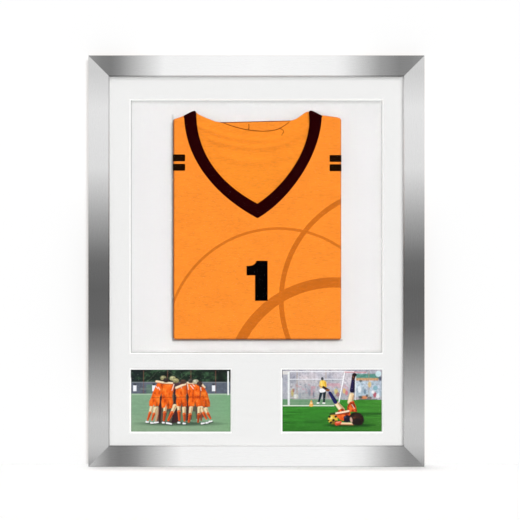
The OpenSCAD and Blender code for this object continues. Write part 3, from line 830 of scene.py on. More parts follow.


# the back panel's outline in mm, whose neck line carries a dark thread standing in for painted shade along its
# top edge
NECK_LINE = [(57.8, 587.1), (-61, 584.2)]
BACK_EDGE = [(89, 601.9), (86, 602), (83.3, 600.8), (70.5, 591.8), (66.3, 589.4), (62, 587.9), *NECK_LINE,
             (-69.6, 585.3), (-86.6, 591.9), (-98.5, 597.6), (-102, 600.4)]
BACK_OUTLINE = mm([(-139.6, 216.8), (142, 216.8), (142, 586.4), (136, 591.4), (110.1, 594.2), (96, 599.6),
                   *BACK_EDGE, (-106, 600.9), (-112, 598.4), (-122.4, 594), (-137, 588.6), (-139.6, 586)])


def back_panel():
    flat, faces = triangulated(densify(BACK_OUTLINE, 2.0 * MM), 3.0 * MM)
    obj = make("jersey_back", [Vector((x, inner_back(x, z), z)) for x, z in flat], faces, inner_cloth)
    thicken(obj, 0.8 * MM)
    return obj


back = back_panel()
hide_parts("jersey_back_panel")

# the lower edge of the facing inside the neck
SEAM = cubic((-56, 583.2), (-30, 572), (10, 564.6), (36, 572.2), 24)
SEAM += [Vector(p) for p in mm([(45, 576.8), (55.5, 584.2)])]


def tube(path, radius, sides=6):
    """Points and faces of a thread that follows a path in space."""
    verts, faces = [], []
    n = len(path)
    for i, p in enumerate(path):
        d = (path[min(i + 1, n - 1)] - path[max(i - 1, 0)]).normalized()
        side = d.cross(Vector((0, 1, 0))).normalized()
        up = side.cross(d).normalized()
        for k in range(sides):
            a = 2 * math.pi * k / sides
            verts.append(p + radius * (math.cos(a) * side + math.sin(a) * up))
    for i in range(n - 1):
        for k in range(sides):
            m = (k + 1) % sides
            faces.append((i * sides + k, i * sides + m, (i + 1) * sides + m, (i + 1) * sides + k))
    faces.append(tuple(range(sides))[::-1])
    faces.append(tuple((n - 1) * sides + k for k in range(sides)))
    return verts, faces


def before_back(x, z, gap, drop=0.0):
    """A point gap mm in front of the back panel at x, z in metres, then drop mm lower."""
    return Vector((x, inner_back(x, z) - gap * MM, z - drop * MM))


def facing():
    """The half-moon inside the back of the neck, with the seam along its lower edge."""
    outline = [tuple(p) for p in SEAM] + mm([(33.0, 585.0), (6.0, 584.2), (-25.0, 583.4)])
    flat, faces = triangulated(densify(outline, 1.4 * MM), 2.0 * MM)
    verts = []
    for x, z in flat:
        lower = min(1.0, max(0.0, (583 * MM - z) / (10 * MM)))
        verts.append(before_back(x, z, 0.55 + 0.35 * lower))
    obj = make("jersey_facing", verts, faces, facing_cloth)
    thicken(obj, 0.45 * MM)
    seam = [before_back(p.x, p.y, 0.75, 0.1) for p in SEAM]
    sway = [Vector((0.2 * MM * math.sin(k), 0, 0)) for k in range(11)]
    label = [before_back(-12.8 * MM, (581 - k) * MM, 1.1) - sway[k] for k in range(11)]
    # a dark thread along the neck line stands in for painted shade at the back panel's folded top edge
    start, end = (Vector(p) * MM for p in NECK_LINE)
    along = [start.lerp(end, k / 7) for k in range(8)]
    edge = [before_back(p.x, p.y, 0.5, 0.5) for p in along]
    loop = mm([(40, 574.6), (42.5, 572.4), (45.2, 570.6), (46.6, 568.2), (45.4, 565.8), (43.6, 563.8),
               (43.0, 561.4)])
    loop = [before_back(x, z, 0.7) for x, z in loop]
    stitches = []
    threads = ("neck", seam, 0.45), ("label", label, 0.6), ("edge", edge, 0.5), ("loop", loop, 0.4)
    for title, path, radius in threads:
        verts, faces = tube(path, radius * MM)
        stitches.append(make(f"jersey_{title}_seam", verts, faces, thread))
    return obj, stitches


inside, stitches = facing()
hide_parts("jersey_neck_facing")


def sleeve(name, node, outline, seed):
    """A hidden layer of the folded shirt: a thin sheet with soft waves."""
    flat, faces = triangulated(densify(mm(outline), 4.0 * MM), 6.0 * MM)
    behind = edge_depths("jersey_sleeve_left")[0]
    verts = [Vector((x, behind + (wrinkle(x, z, seed) + 0.35 * MM) * 0.6, z)) for x, z in flat]
    obj = make(name, verts, faces, plain_cloth)
    thicken(obj, 0.8 * MM)
    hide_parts(node)
    return obj


LEFT_SLEEVE = [(-136, 583), (-98, 583), (-60, 552), (-22, 521), (-20, 474), (-58, 440), (-136, 440)]
RIGHT_SLEEVE = [(138, 583), (138, 440), (60, 440), (22, 474), (24, 521), (62, 552), (100, 583)]
sleeve_left = sleeve("jersey_sleeve_folded_left", "jersey_sleeve_left", LEFT_SLEEVE, 11.0)
sleeve_right = sleeve("jersey_sleeve_folded_right", "jersey_sleeve_right", RIGHT_SLEEVE, 13.0)


def tail():
    """The lower part of the shirt, turned up behind: it starts under the front panel's rounded lower edge."""
    radius = BASE_R - 0.5 * MM
    start = 0.42 * math.pi
    bend = (math.pi - start) * radius
    top = 556 * MM
    flat_len = top - CURVE_B
    x0, x1 = LEFT + 1.6 * MM, RIGHT - 1.6 * MM
    corners = [(x0, 0.0), (x1, 0.0), (x1, bend + flat_len), (x0, bend + flat_len)]
    flat, faces = triangulated(densify(corners, 3.0 * MM), 4.5 * MM)
    verts = []
    for x, s in flat:
        if s < bend:
            a = start + s / radius
            verts.append(Vector((x, FRONT_Y + BASE_R - radius * math.cos(a), CURVE_B - radius * math.sin(a))))
        else:
            z = CURVE_B + s - bend
            verts.append(Vector((x, FRONT_Y + BASE_R + radius + wrinkle(x, z, 17.0) * 0.4, z)))
    obj = make("jersey_tail", verts, faces, plain_cloth)
    thicken(obj, 0.8 * MM, offset=0.0)
    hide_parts("jersey_lower_fold")
    return obj, (x1 - x0, bend + flat_len)


tail_piece, tail_size = tail()


def fuzzy_pad():
    s = Shader("white_pad")
    loops = s.noise(1900.0, 4.0, 0.7)
    colour = s.mix(s.spread(loops, 0.3, 0.7), linear(214, 214, 210), linear(240, 240, 238))
    return s.finish(Base_Color=colour, Roughness=0.95, Normal=s.bump(loops, 0.0003, 0.7))


dress("mounting_pads", fuzzy_pad())


# ------------------------------------------------------------------ photographs

# the small windows' width and height in mm
PRINT_SEEN = (168.8, 105.2)


def between(value, lo, hi, soft):
    """1 from lo to hi, falling to 0 across each end."""
    return np.clip((value - lo) / soft + 0.5, 0, 1) * np.clip((hi - value) / soft + 0.5, 0, 1)


class Canvas:
    """Colours painted in code on a print's own grid, in mm from the lower left of its window."""

    def __init__(self, node, step):
        lo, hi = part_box(node)
        self.lo, self.hi = lo, hi
        self.nx = int(round((hi[0] - lo[0]) / step))
        self.nz = int(round((hi[2] - lo[2]) / step))
        xs = np.linspace(lo[0], hi[0], self.nx + 1)
        zs = np.linspace(lo[2], hi[2], self.nz + 1)
        self.X, self.Z = np.meshgrid(xs, zs, indexing="ij")
        self.x = (self.X - (lo[0] + hi[0]) / 2) / MM + PRINT_SEEN[0] / 2
        self.z = (self.Z - (lo[2] + hi[2]) / 2) / MM + PRINT_SEEN[1] / 2
        self.rgb = np.zeros(self.x.shape + (3,))

    def cover(self, mask, colour, alpha=1.0):
        colour = np.array(shade_of(*colour)[:3])
        a = (np.clip(mask, 0, 1) * alpha)[..., None]
        self.rgb = self.rgb * (1 - a) + colour * a

    def band(self, z0, z1, colour, soft=0.4, alpha=1.0):
        self.cover(between(self.z, z0, z1, soft), colour, alpha)

    def box(self, x0, x1, z0, z1, colour, soft=0.4, alpha=1.0):
        self.cover(between(self.z, z0, z1, soft) * between(self.x, x0, x1, soft), colour, alpha)

    def blob(self, cx, cz, rx, rz, colour, angle=0.0, soft=0.5, alpha=1.0):
        c, s = math.cos(math.radians(angle)), math.sin(math.radians(angle))
        dx, dz = self.x - cx, self.z - cz
        u, v = (dx * c + dz * s) / rx, (-dx * s + dz * c) / rz
        r = np.sqrt(u * u + v * v)
        self.cover((1 - r) * min(rx, rz) / soft + 0.5, colour, alpha)

    def limb(self, x0, z0, x1, z1, r0, r1, colour, soft=0.5, alpha=1.0):
        """A bar with round ends whose radius goes from r0 to r1."""
        dx, dz = x1 - x0, z1 - z0
        t = np.clip(((self.x - x0) * dx + (self.z - z0) * dz) / (dx * dx + dz * dz), 0, 1)
        d = np.hypot(self.x - x0 - t * dx, self.z - z0 - t * dz) - (r0 + (r1 - r0) * t)
        self.cover(0.5 - d / soft, colour, alpha)

    def inside(self, points, soft=0.5):
        """1 inside a polygon, falling to 0 across its edge."""
        gap = np.full(self.x.shape, 1e9)
        odd = np.zeros(self.x.shape, bool)
        for (ax, az), (bx, bz) in zip(points, points[1:] + points[:1]):
            dx, dz = bx - ax, bz - az
            t = np.clip(((self.x - ax) * dx + (self.z - az) * dz) / (dx * dx + dz * dz), 0, 1)
            gap = np.minimum(gap, np.hypot(self.x - ax - t * dx, self.z - az - t * dz))
            if az != bz:
                odd ^= ((az > self.z) != (bz > self.z)) & (self.x < ax + (self.z - az) * dx / dz)
        return np.clip(np.where(odd, gap, -gap) / soft + 0.5, 0, 1)

    def shape(self, points, colour, soft=0.7, alpha=1.0):
        mask = self.inside(points, soft)
        self.cover(mask, colour, alpha)
        return mask

    def painted_window_shadow(self):
        """Painted shadow of the mount board, just inside the edge of its window."""
        half_x, half_z = PRINT_SEEN[0] / 2, PRINT_SEEN[1] / 2
        from_edge = np.minimum(half_x - np.abs(self.x - half_x), half_z - np.abs(self.z - half_z))
        self.cover(np.clip(1 - from_edge / 1.7, 0, 1), (16, 26, 18), 0.5)

    def cloud(self, scale_x, scale_z, seed, octaves=3):
        """Smooth noise from -1 to 1 over the print."""
        out = np.zeros(self.x.shape)
        total = 0.0
        rng = np.random.default_rng(seed)
        for o in range(octaves):
            k = 2 ** o
            gx, gz = self.x * k / scale_x + 50, self.z * k / scale_z + 50
            ix, iz = np.floor(gx).astype(int), np.floor(gz).astype(int)
            fx, fz = gx - ix, gz - iz
            fx, fz = fx * fx * (3 - 2 * fx), fz * fz * (3 - 2 * fz)
            table = rng.uniform(-1, 1, (ix.max() + 2, iz.max() + 2))
            a = table[ix, iz] * (1 - fx) + table[ix + 1, iz] * fx
            b = table[ix, iz + 1] * (1 - fx) + table[ix + 1, iz + 1] * fx
            out += (a * (1 - fz) + b * fz) / k
            total += 1 / k
        return out / total

    def tone(self, noise_field, amount, mask=None):
        """Lightens and darkens the colours by a field from -1 to 1."""
        f = 1 + noise_field * amount * (1 if mask is None else mask)
        self.rgb = self.rgb * f[..., None]

    def build(self, name, node, material):
        """A closed thin print whose front carries the painted colours."""
        nx, nz = self.nx, self.nz
        y0, y1 = self.lo[1], self.hi[1]
        stride = nz + 1
        verts = [(self.X[i, j], y0, self.Z[i, j]) for i in range(nx + 1) for j in range(nz + 1)]
        corners = [i * stride + j for i in range(nx) for j in range(nz)]
        faces = [(k, k + stride, k + stride + 1, k + 1) for k in corners]
        rim = [i * stride for i in range(nx)] + [nx * stride + j for j in range(nz)]
        rim += [i * stride + nz for i in range(nx, 0, -1)] + [j for j in range(nz, 0, -1)]
        first = len(verts)
        verts += [(verts[k][0], y1, verts[k][2]) for k in rim]
        m = len(rim)
        faces += [(rim[k], first + k, first + (k + 1) % m, rim[(k + 1) % m]) for k in range(m)]
        faces.append(tuple(first + k for k in range(m))[::-1])
        mesh = bpy.data.meshes.new(name)
        mesh.from_pydata(verts, [], faces)
        layer = mesh.color_attributes.new("paint", "FLOAT_COLOR", "POINT")
        rgba = np.ones((len(verts), 4))
        rgba[:first, :3] = np.clip(self.rgb, 0, 1).reshape(-1, 3)
        layer.data.foreach_set("color", rgba.ravel())
        mesh.materials.append(material)
        obj = placed(name, mesh)
        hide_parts(node)
        return obj


def photo_paper():
    s = Shader("photo_paper")
    paint = s.node("VertexColor", layer_name="paint").outputs[0]
    pearl = s.noise(2400.0, 2.0, 0.5)
    colour = s.shade(paint, s.spread(pearl, 0.3, 0.7, 0.985, 1.015))
    return s.finish(Base_Color=colour, Roughness=s.spread(pearl, 0.3, 0.7, 0.5, 0.6), Specular_IOR_Level=0.2,
                    Normal=s.bump(pearl, 0.00002, 0.2))


photo_finish = photo_paper()


def paint_huddle():
    """A team in a huddle, seen from behind, on a pitch with trees and a fence."""
    c = Canvas("photo_print_left", 0.6 * MM)
    trees = c.z > 83
    c.band(-30, 140, (22, 38, 28))
    leaves, twigs = c.cloud(9, 7, 3, 4), c.cloud(2.6, 2.2, 4, 2)
    c.cover(np.clip(leaves * 1.6 + twigs * 0.9, 0, 1) * trees, (66, 100, 70), 0.75)
    c.cover(np.clip(-leaves * 1.8 + twigs * 0.8, 0, 1) * trees, (4, 10, 9), 0.85)
    c.box(-10, 20, 84, 140, (18, 24, 32), 1, 0.6)
    c.box(148, 190, 84, 140, (10, 14, 14), 2, 0.55)
    for x0, x1 in ((26, 46), (75, 101), (96, 60)):
        c.limb(x0, 83, x1, 104, 0.25, 0.2, (120, 138, 112), alpha=0.5)
    c.band(63, 84, (92, 99, 112), 0.8)
    c.tone(c.cloud(7, 5, 5, 3) + 0.6 * c.cloud(1.8, 2.6, 6, 2), 0.3, (c.z < 84) & (c.z > 63))
    c.box(26, 36, 63, 80, (96, 132, 104), 2, 0.6)
    c.box(15, 34, 71, 74, (126, 140, 132), 2, 0.5)
    c.band(83.2, 84.4, (140, 146, 150), 0.6, 0.8)
    for x in (21.2, 62, 101.5, 143.5):
        c.box(x - 0.7, x + 0.7, 62, 104.4, (128, 84, 70), 0.7, 0.55)
    for x in (6.2, 38.5, 140):
        c.box(x - 2.8, x + 2.8, 68.6, 78.4, (240, 242, 248), 0.8)
        c.blob(x, 80.4, 2.2, 1.2, (30, 26, 32), soft=1)
    c.band(-40, 64, (129, 164, 133), 0.8)
    pitch = c.z < 63.8
    c.tone(c.cloud(26, 2.2, 9, 3) + 0.6 * c.cloud(3.2, 1.2, 10, 2), 0.1, pitch)
    c.cover(np.clip((36 - c.z) / 60, 0, 1) * pitch, (150, 160, 132), 0.55)
    c.cover(np.clip((c.x - 110) / 80, 0, 1) * pitch, (104, 168, 104), 0.45)
    c.band(62.4, 64.4, (170, 196, 168), 0.9, 0.85)
    c.blob(82, 13.6, 60, 3.6, (46, 66, 50), soft=3.4, alpha=0.85)

    # the dark mass of the players on the far side
    gloom = (70, 34, 34)
    c.shape([(44, 82), (60, 84), (100, 84), (122, 78), (130, 44), (124, 24), (92, 18), (60, 15), (44, 16),
             (46, 40)], gloom, 1.4, 0.82)
    for x0, z0, x1, z1 in ((50, 44, 42, 16), (72, 40, 77, 17), (98, 40, 99, 18), (118, 40, 119, 20)):
        c.limb(x0, z0, x1, z1, 2.6, 1.8, (136, 62, 40), 1, 0.9)
    c.limb(46, 40, 41.5, 17, 2.2, 1.6, (206, 168, 132), 1.2, 0.8)
    c.shape([(46, 60), (53, 60), (50, 14), (47, 14)], (46, 20, 26), 1.2, 0.9)
    c.shape([(73, 70), (78, 74), (80, 16), (68, 13), (72, 40)], (42, 20, 28), 1.2, 0.9)
    c.shape([(95, 66), (98.5, 66), (97.5, 18), (94, 18)], (50, 22, 24), 1, 0.9)
    # green seen between the legs
    gaps = [[(37, 42), (40, 42), (38, 20), (35, 20)], [(62, 34), (64, 34), (62, 17), (57.5, 17)],
            [(85, 34), (88, 34), (89, 17), (84, 17)], [(104, 34), (109, 34), (111, 18), (103, 18)],
            [(122, 34), (125, 34), (132, 22), (130, 20)]]
    for gap in gaps:
        c.shape(gap, (100, 128, 96), 0.9, 0.9)

    def leg(knee_x, knee_z, foot_x, foot_z, shade=1, width=2.7):
        knee_x, knee_z = knee_x + (foot_x - knee_x) * 0.08, knee_z + (foot_z - knee_z) * 0.08
        x0, z0 = knee_x + (knee_x - foot_x) * 0.75, knee_z + (knee_z - foot_z) * 0.75
        c.limb(x0, z0, knee_x, knee_z, width + 0.6, width - 0.4, (238, 216, 172), 0.8)
        c.limb(x0 + 1.8, z0, knee_x + 1.3, knee_z, 1, 0.7, (168, 108, 68), 1.2, 0.8)
        sock = tuple(v * shade for v in (224, 90, 34))
        c.limb(knee_x, knee_z, foot_x, foot_z + 2, width - 0.2, width - 1.1, sock, 0.8)
        c.limb(knee_x + 1.3, knee_z, foot_x + 0.7, foot_z + 3, 1, 0.6, (124, 42, 24), 1.2, 0.8)
        c.limb(knee_x - width, knee_z, knee_x + width, knee_z + 0.3, 0.5, 0.5, (250, 132, 66), 0.7, 0.8)

    def shoe(x, z, reach=2.4, tilt=-0.4):
        c.limb(x - reach + 0.4, z - 1.4, x + reach + 0.6, z - 1.5 + tilt, 1.2, 1.1, (36, 44, 44), 0.9, 0.85)
        c.limb(x - reach + 0.6, z, x + reach - 0.6, z + tilt, 1.5, 1, (250, 250, 250), 0.8)
        c.limb(x - reach + 1.4, z + 1.2, x, z + 1, 0.6, 0.5, (170, 176, 190), 0.9, 0.7)

    def kit(hem, seed, shade, outline):
        """A shirt and shorts as one outline, with the shirt's hem at hem, broken up by soft folds."""
        mask = c.shape(outline, tuple(min(255, v * shade) for v in (246, 104, 24)), 0.8)
        folds = c.cloud(3.4, 6.5, seed, 3)
        c.cover(mask * np.clip(folds * 2.6 - 0.2, 0, 1), (176, 54, 10), 0.75)
        c.cover(mask * np.clip(-folds * 2.6 - 0.35, 0, 1), (255, 142, 52), 0.75)
        c.cover(mask * np.clip(1 - np.abs(c.z - hem - 0.4 * np.sin(c.x)) / 1.1, 0, 1), (140, 44, 14), 0.7)
        xs, zs = [q[0] for q in outline], [q[1] for q in outline]
        middle = (min(xs) + max(xs)) / 2
        seat = np.clip(1 - np.abs(c.x - middle - 1) / 2.6, 0, 1) * np.clip((hem - 4 - c.z) / 8, 0, 1)
        c.cover(mask * seat, (104, 40, 22), 0.85)
        c.cover(mask * np.clip((c.x - max(xs) + 6.5) / 7, 0, 1), (140, 44, 16), 0.6)
        c.cover(mask * np.clip((min(zs) + 2.6 - c.z) / 2.6, 0, 1), (140, 44, 12), 0.5)

    for x0, z0, x1, z1 in ((32.5, 33, 28.2, 18), (39, 31, 35.6, 18)):
        leg(x0, z0, x1, z1)
    for x, z in ((27.6, 16.6), (35.6, 15)):
        shoe(x, z)
    shoe(43, 15.4, 3.4, 0.4)
    leg(122.5, 32.5, 127.5, 20)
    leg(129.8, 31.5, 134.6, 20.5)
    for x, z in ((122, 13.8), (129.8, 15), (135, 17.2)):
        shoe(x, z, 2.8, 0.6)
    leg(115, 30.5, 113.6, 14.5, 0.8)
    leg(100.2, 30.5, 97.6, 14.5, 0.95)
    leg(57, 34, 55.4, 17, 0.95)
    leg(69.8, 33.5, 63, 17.6, 1, 3)
    shoe(55, 15.4, 2)
    shoe(64.4, 14.6, 4.6, -1.6)
    leg(81, 35.5, 81.8, 17.6)
    leg(90, 31, 90.6, 16.6, 0.95)
    shoe(81.4, 15.2, 2)
    shoe(90.4, 14, 2.2)
    kit(59, 51, 0.9,
        [(118, 76), (124, 75), (130, 64), (131.6, 57), (133.8, 50), (133.8, 42.4), (127, 41.5), (121, 43),
         (118, 56)])
    kit(58.6, 52, 1,
        [(95.5, 82), (104, 82), (114.5, 81), (117, 72), (117, 60), (120.6, 49), (120.4, 43.5), (110.5, 42.5),
         (108.6, 48), (107, 43), (97.2, 43), (96.6, 50), (98.2, 59), (95.8, 66)])
    kit(58.4, 53, 0.98,
        [(76, 73), (84, 80), (94.2, 82), (94.4, 66), (92.8, 58), (94.6, 50), (94, 43), (87.5, 42), (86, 48),
         (84.2, 42.6), (77.4, 43.6), (76.2, 51), (77.4, 58), (75.4, 64)])
    kit(58.2, 54, 1,
        [(53.2, 80), (62, 82), (71.6, 81.5), (73, 74), (69.6, 60), (71.4, 50), (69.6, 40), (61.4, 38.4),
         (59.4, 46), (57.4, 41), (52.4, 40), (51.2, 50), (52.6, 58), (51.2, 66)])
    kit(57.6, 55, 1,
        [(45.6, 84), (50, 83.6), (54.6, 80), (53.2, 70), (48.4, 58), (48.4, 50), (46.8, 43.4), (40.2, 42.4),
         (38.6, 46), (37, 42.8), (30.8, 43.6), (30.6, 51), (34, 58), (36.6, 66), (41, 76)])
    # white trim down the shirts
    trim = [(42.6, 76.5, 45.4, 73), (46.4, 75.4, 48.6, 71), (72.6, 80, 69.4, 70), (82.6, 77, 86, 74),
            (101, 78.6, 105.8, 72.4), (95.6, 80.6, 97, 71.6), (104, 81, 107.6, 77), (118, 74.6, 118.8, 69.6)]
    for x0, z0, x1, z1 in trim:
        c.limb(x0, z0, x1, z1, 0.75, 0.55, (252, 236, 220), 0.8, 0.85)
    # arms over shoulders, then heads
    arms = [(43, 85.4, 55, 83.4, 1.8), (57, 83.4, 70, 82.4, 1.7), (76.6, 74.6, 92, 80.8, 2),
            (96, 83, 110, 82.4, 1.7), (108, 83, 121, 80.4, 1.7), (120.6, 79.4, 125, 75.4, 1.6)]
    for x0, z0, x1, z1, r in arms:
        c.limb(x0, z0 - 1.2, x1, z1 - 1.2, r, r * 0.8, (168, 98, 60), 0.9, 0.8)
        c.limb(x0, z0, x1, z1, r, r * 0.8, (242, 214, 176), 0.8)
        c.limb(x0, z0 + 0.7, x1, z1 + 0.7, 0.6, 0.4, (255, 244, 220), 0.9, 0.7)
    heads = [(54.6, 91, (146, 142, 104)), (59.4, 87.4, (44, 34, 30)), (70.4, 90.4, (168, 166, 124)),
             (76, 86.6, (150, 144, 100)), (88.4, 84.8, (66, 50, 42)), (101.4, 86.4, (60, 58, 52)),
             (109.6, 84.6, (196, 190, 160)), (116.4, 81.6, (56, 40, 36))]
    for x, z, hair in heads:
        c.blob(x, z, 5, 4, hair, soft=1.1)
        on_head = np.hypot((c.x - x) / 4.6, (c.z - z) / 3.7) < 1
        c.tone(np.clip(c.cloud(1.5, 1.2, int(x), 2) * 2, -1, 1) * on_head, 0.45)
        c.blob(x - 1.2, z + 1.6, 2.2, 1.1, tuple(min(255, v * 1.4 + 12) for v in hair), soft=1.4, alpha=0.6)
        c.limb(x - 3, z - 3.4, x + 3.4, z - 3.2, 0.7, 0.7, (92, 56, 38), 1, 0.55)
    c.box(163.6, 166, 62, 102.5, (244, 246, 246), 0.5)
    c.box(163, 163.6, 62, 102.5, (110, 120, 124), 0.4, 0.7)
    c.tone(c.cloud(1.7, 1.7, 21, 2), 0.09)
    c.painted_window_shadow()
    return c.build("photo_huddle", "photo_print_left", photo_finish)


def paint_keeper():
    """A goalkeeper lying on a pitch with the ball, before a goal, seen from the top of the head."""
    c = Canvas("photo_print_right", 0.6 * MM)
    c.band(-30, 140, (190, 188, 198))
    blur, bars, grain = c.cloud(16, 22, 31, 3), c.cloud(3.4, 40, 32, 2), c.cloud(2.6, 2.6, 34, 3)
    c.cover(np.clip(blur * 1.5, 0, 1), (224, 212, 216), 0.75)
    c.cover(np.clip(-blur * 1.5, 0, 1), (140, 142, 160), 0.75)
    c.tone(bars * 0.5 + grain, 0.3)
    seats = c.cloud(5, 4, 33, 2)
    c.cover(np.clip(seats * 2.2 - 0.5, 0, 1) * (c.z < 84), (206, 120, 136), 0.55)
    c.cover(np.clip(-seats * 2.2 - 0.6, 0, 1), (96, 104, 126), 0.6)
    c.band(54, 66, (150, 156, 150), 5, 0.35)
    c.box(-10, 10, 50, 104, (172, 176, 186), 2, 0.6)
    c.box(76, 98, 77, 82, (226, 128, 150), 2.4, 0.5)
    c.box(124, 165, 90, 98, (52, 138, 118), 2, 0.85)
    c.box(124, 163, 86.5, 91, (206, 150, 88), 2, 0.8)
    c.box(124, 170, 60, 86, (182, 208, 222), 3, 0.6)
    c.tone(grain, 0.3, (c.x > 122) & (c.z < 100))
    crowd = [(133, 86, 3, 1.9, (16, 52, 48)), (163, 98, 5, 5, (214, 238, 244)),
             (166, 90, 2.6, 3.6, (40, 56, 82)), (148, 80, 3, 5, (232, 196, 120)),
             (131, 72, 3, 6, (238, 244, 248)), (140, 68, 2.4, 4, (90, 120, 140)),
             (158, 74, 4, 4, (120, 170, 180)), (157, 62.6, 3, 4.6, (176, 30, 62)),
             (154, 67, 2.4, 2.8, (250, 244, 244)), (162, 60, 3, 4, (236, 236, 240)),
             (139, 58, 5.4, 3, (222, 136, 70)), (143.6, 61, 2.2, 2.4, (70, 42, 32)),
             (133, 58.4, 3.4, 2.2, (40, 60, 50)), (148, 57.4, 3.4, 1.8, (48, 60, 54)),
             (91, 68, 3.4, 4.6, (224, 200, 92)), (94, 63, 3, 4, (150, 70, 84)),
             (86, 66, 2.4, 3.6, (120, 136, 160)), (105, 69, 2.8, 4.4, (226, 188, 110)),
             (109, 66, 2.4, 4.2, (214, 110, 120)), (17, 66, 2.4, 6.4, (190, 168, 62)),
             (19, 70, 1.6, 3, (150, 60, 40)), (23, 60, 3.8, 3.8, (240, 242, 236)),
             (16, 55, 2.4, 1.6, (90, 120, 80)), (30, 62, 2.2, 4.4, (150, 156, 168)),
             (46, 66, 2, 5, (120, 124, 146)), (53, 63, 1.4, 5, (84, 90, 120)), (78, 62, 2, 4, (130, 90, 110))]
    for x, z, rx, rz, colour in crowd:
        c.blob(x, z, rx, rz, colour, soft=1.6, alpha=0.8)
    c.limb(130, 54.6, 160, 54, 1.1, 1.1, (40, 62, 40), 1.4, 0.7)
    for x in (25, 74, 147):
        c.box(x - 0.7, x + 0.7, 56, 104, (168, 142, 104), 1, 0.6)
    # grass behind the goal line, then the pitch
    c.box(-10, 100, 43.5, 55, (86, 142, 90), 1.8, 0.9)
    net = (np.abs(((c.x + c.z * 0.15) % 2.2) - 1.1) < 0.3) | (np.abs((c.z % 2.2) - 1.1) < 0.26)
    goal_mouth = (c.x > 12) & (c.x < 98) & (c.z > 44) & (c.z < 88)
    c.cover(net * goal_mouth, (52, 76, 66), 0.22)
    c.cover(np.roll(net, 1, 0) * goal_mouth, (226, 236, 226), 0.2)
    pitch = (c.z < 44.2) | ((c.x > 92) & (c.z < 54))
    c.cover(pitch, (54, 130, 42))
    c.cover(np.clip((34 - c.z) / 34, 0, 1) * pitch, (40, 98, 30), 0.7)
    c.cover(np.clip((c.x - 110) / 60, 0, 1) * pitch, (78, 136, 52), 0.4)
    c.tone(c.cloud(34, 2.2, 37, 3) + 0.7 * c.cloud(3, 1, 38, 2), 0.3, pitch)
    c.cover(np.clip(c.cloud(46, 3, 39, 2) * 2 - 0.4, 0, 1) * pitch * (c.z < 34), (16, 62, 16), 0.65)
    # goal
    c.box(-10, 12.2, 97, 103.2, (232, 228, 224), 0.9, 0.8)
    c.box(9, 12.4, 45, 101, (236, 240, 240), 0.7, 0.95)
    c.box(12.4, 13.4, 45, 101, (132, 138, 146), 0.6, 0.5)
    c.box(12, 122, 101, 103, (238, 238, 242), 0.8)
    c.box(12, 104, 88, 89.6, (236, 238, 244), 0.8, 0.8)
    c.box(12, 104, 86.8, 87.8, (120, 122, 140), 0.8, 0.35)
    c.limb(106, 102, 96, 50, 1.1, 0.9, (248, 248, 250), 0.7)
    c.limb(107.6, 101, 97.8, 51, 0.4, 0.4, (110, 112, 128), 0.8, 0.45)
    c.limb(124.6, 100, 124, 54, 0.7, 0.6, (240, 244, 246), 0.8, 0.85)
    c.box(0, 88, 43.2, 45, (228, 238, 222), 0.8, 0.95)
    c.box(-10, 88, 42, 43, (30, 92, 30), 0.9, 0.6)
    c.limb(106, 101, 142, 100.6, 0.9, 0.8, (226, 104, 108), 1.2, 0.6)
    # cone
    c.limb(49, 52.5, 49, 45.5, 0.8, 3.3, (246, 178, 84), 0.7)
    c.limb(50.4, 51, 51.2, 45.5, 0.4, 1, (214, 132, 52), 1, 0.7)
    c.limb(46, 44.4, 52, 44.4, 0.9, 0.9, (240, 190, 110), 0.7)
    c.limb(48, 48.4, 50, 48.4, 1.1, 1.1, (255, 230, 180), 0.8, 0.8)
    # a player walking in the distance
    c.limb(66, 66, 61.8, 50, 2.6, 1.5, (24, 40, 48), 0.8)
    c.limb(71.4, 66, 70.6, 50, 2.6, 1.6, (20, 34, 42), 0.8)
    c.limb(66, 69.6, 70, 70, 3.4, 3.2, (244, 244, 246), 0.8)
    c.shape([(63.4, 85), (66, 87.4), (71, 87.2), (74.6, 84), (75.6, 76.6), (72.4, 73.6), (64, 74.2),
             (62.8, 78)], (250, 208, 84), 0.9)
    c.limb(72.6, 84, 73.6, 77, 1.4, 1.2, (206, 150, 46), 1, 0.7)
    c.limb(65.6, 85, 68, 76, 1.2, 1.2, (255, 232, 140), 1.2, 0.7)
    c.limb(62, 78, 66, 76, 1.2, 1, (190, 140, 110), 0.9, 0.8)
    c.blob(67.8, 89.8, 2.3, 2.8, (62, 66, 74), soft=0.9)
    c.limb(59.4, 48.6, 61.8, 48.6, 1.2, 1.1, (250, 250, 246), 0.7)
    c.limb(69, 48.4, 71.8, 48.4, 1.2, 1.1, (250, 250, 246), 0.7)
    # shade on the grass under the keeper
    c.blob(112, 10.8, 32, 2.6, (14, 52, 16), soft=2.4, alpha=0.85)
    c.limb(120, 11.2, 158, 11.2, 1.6, 0.9, (20, 66, 20), 2, 0.7)
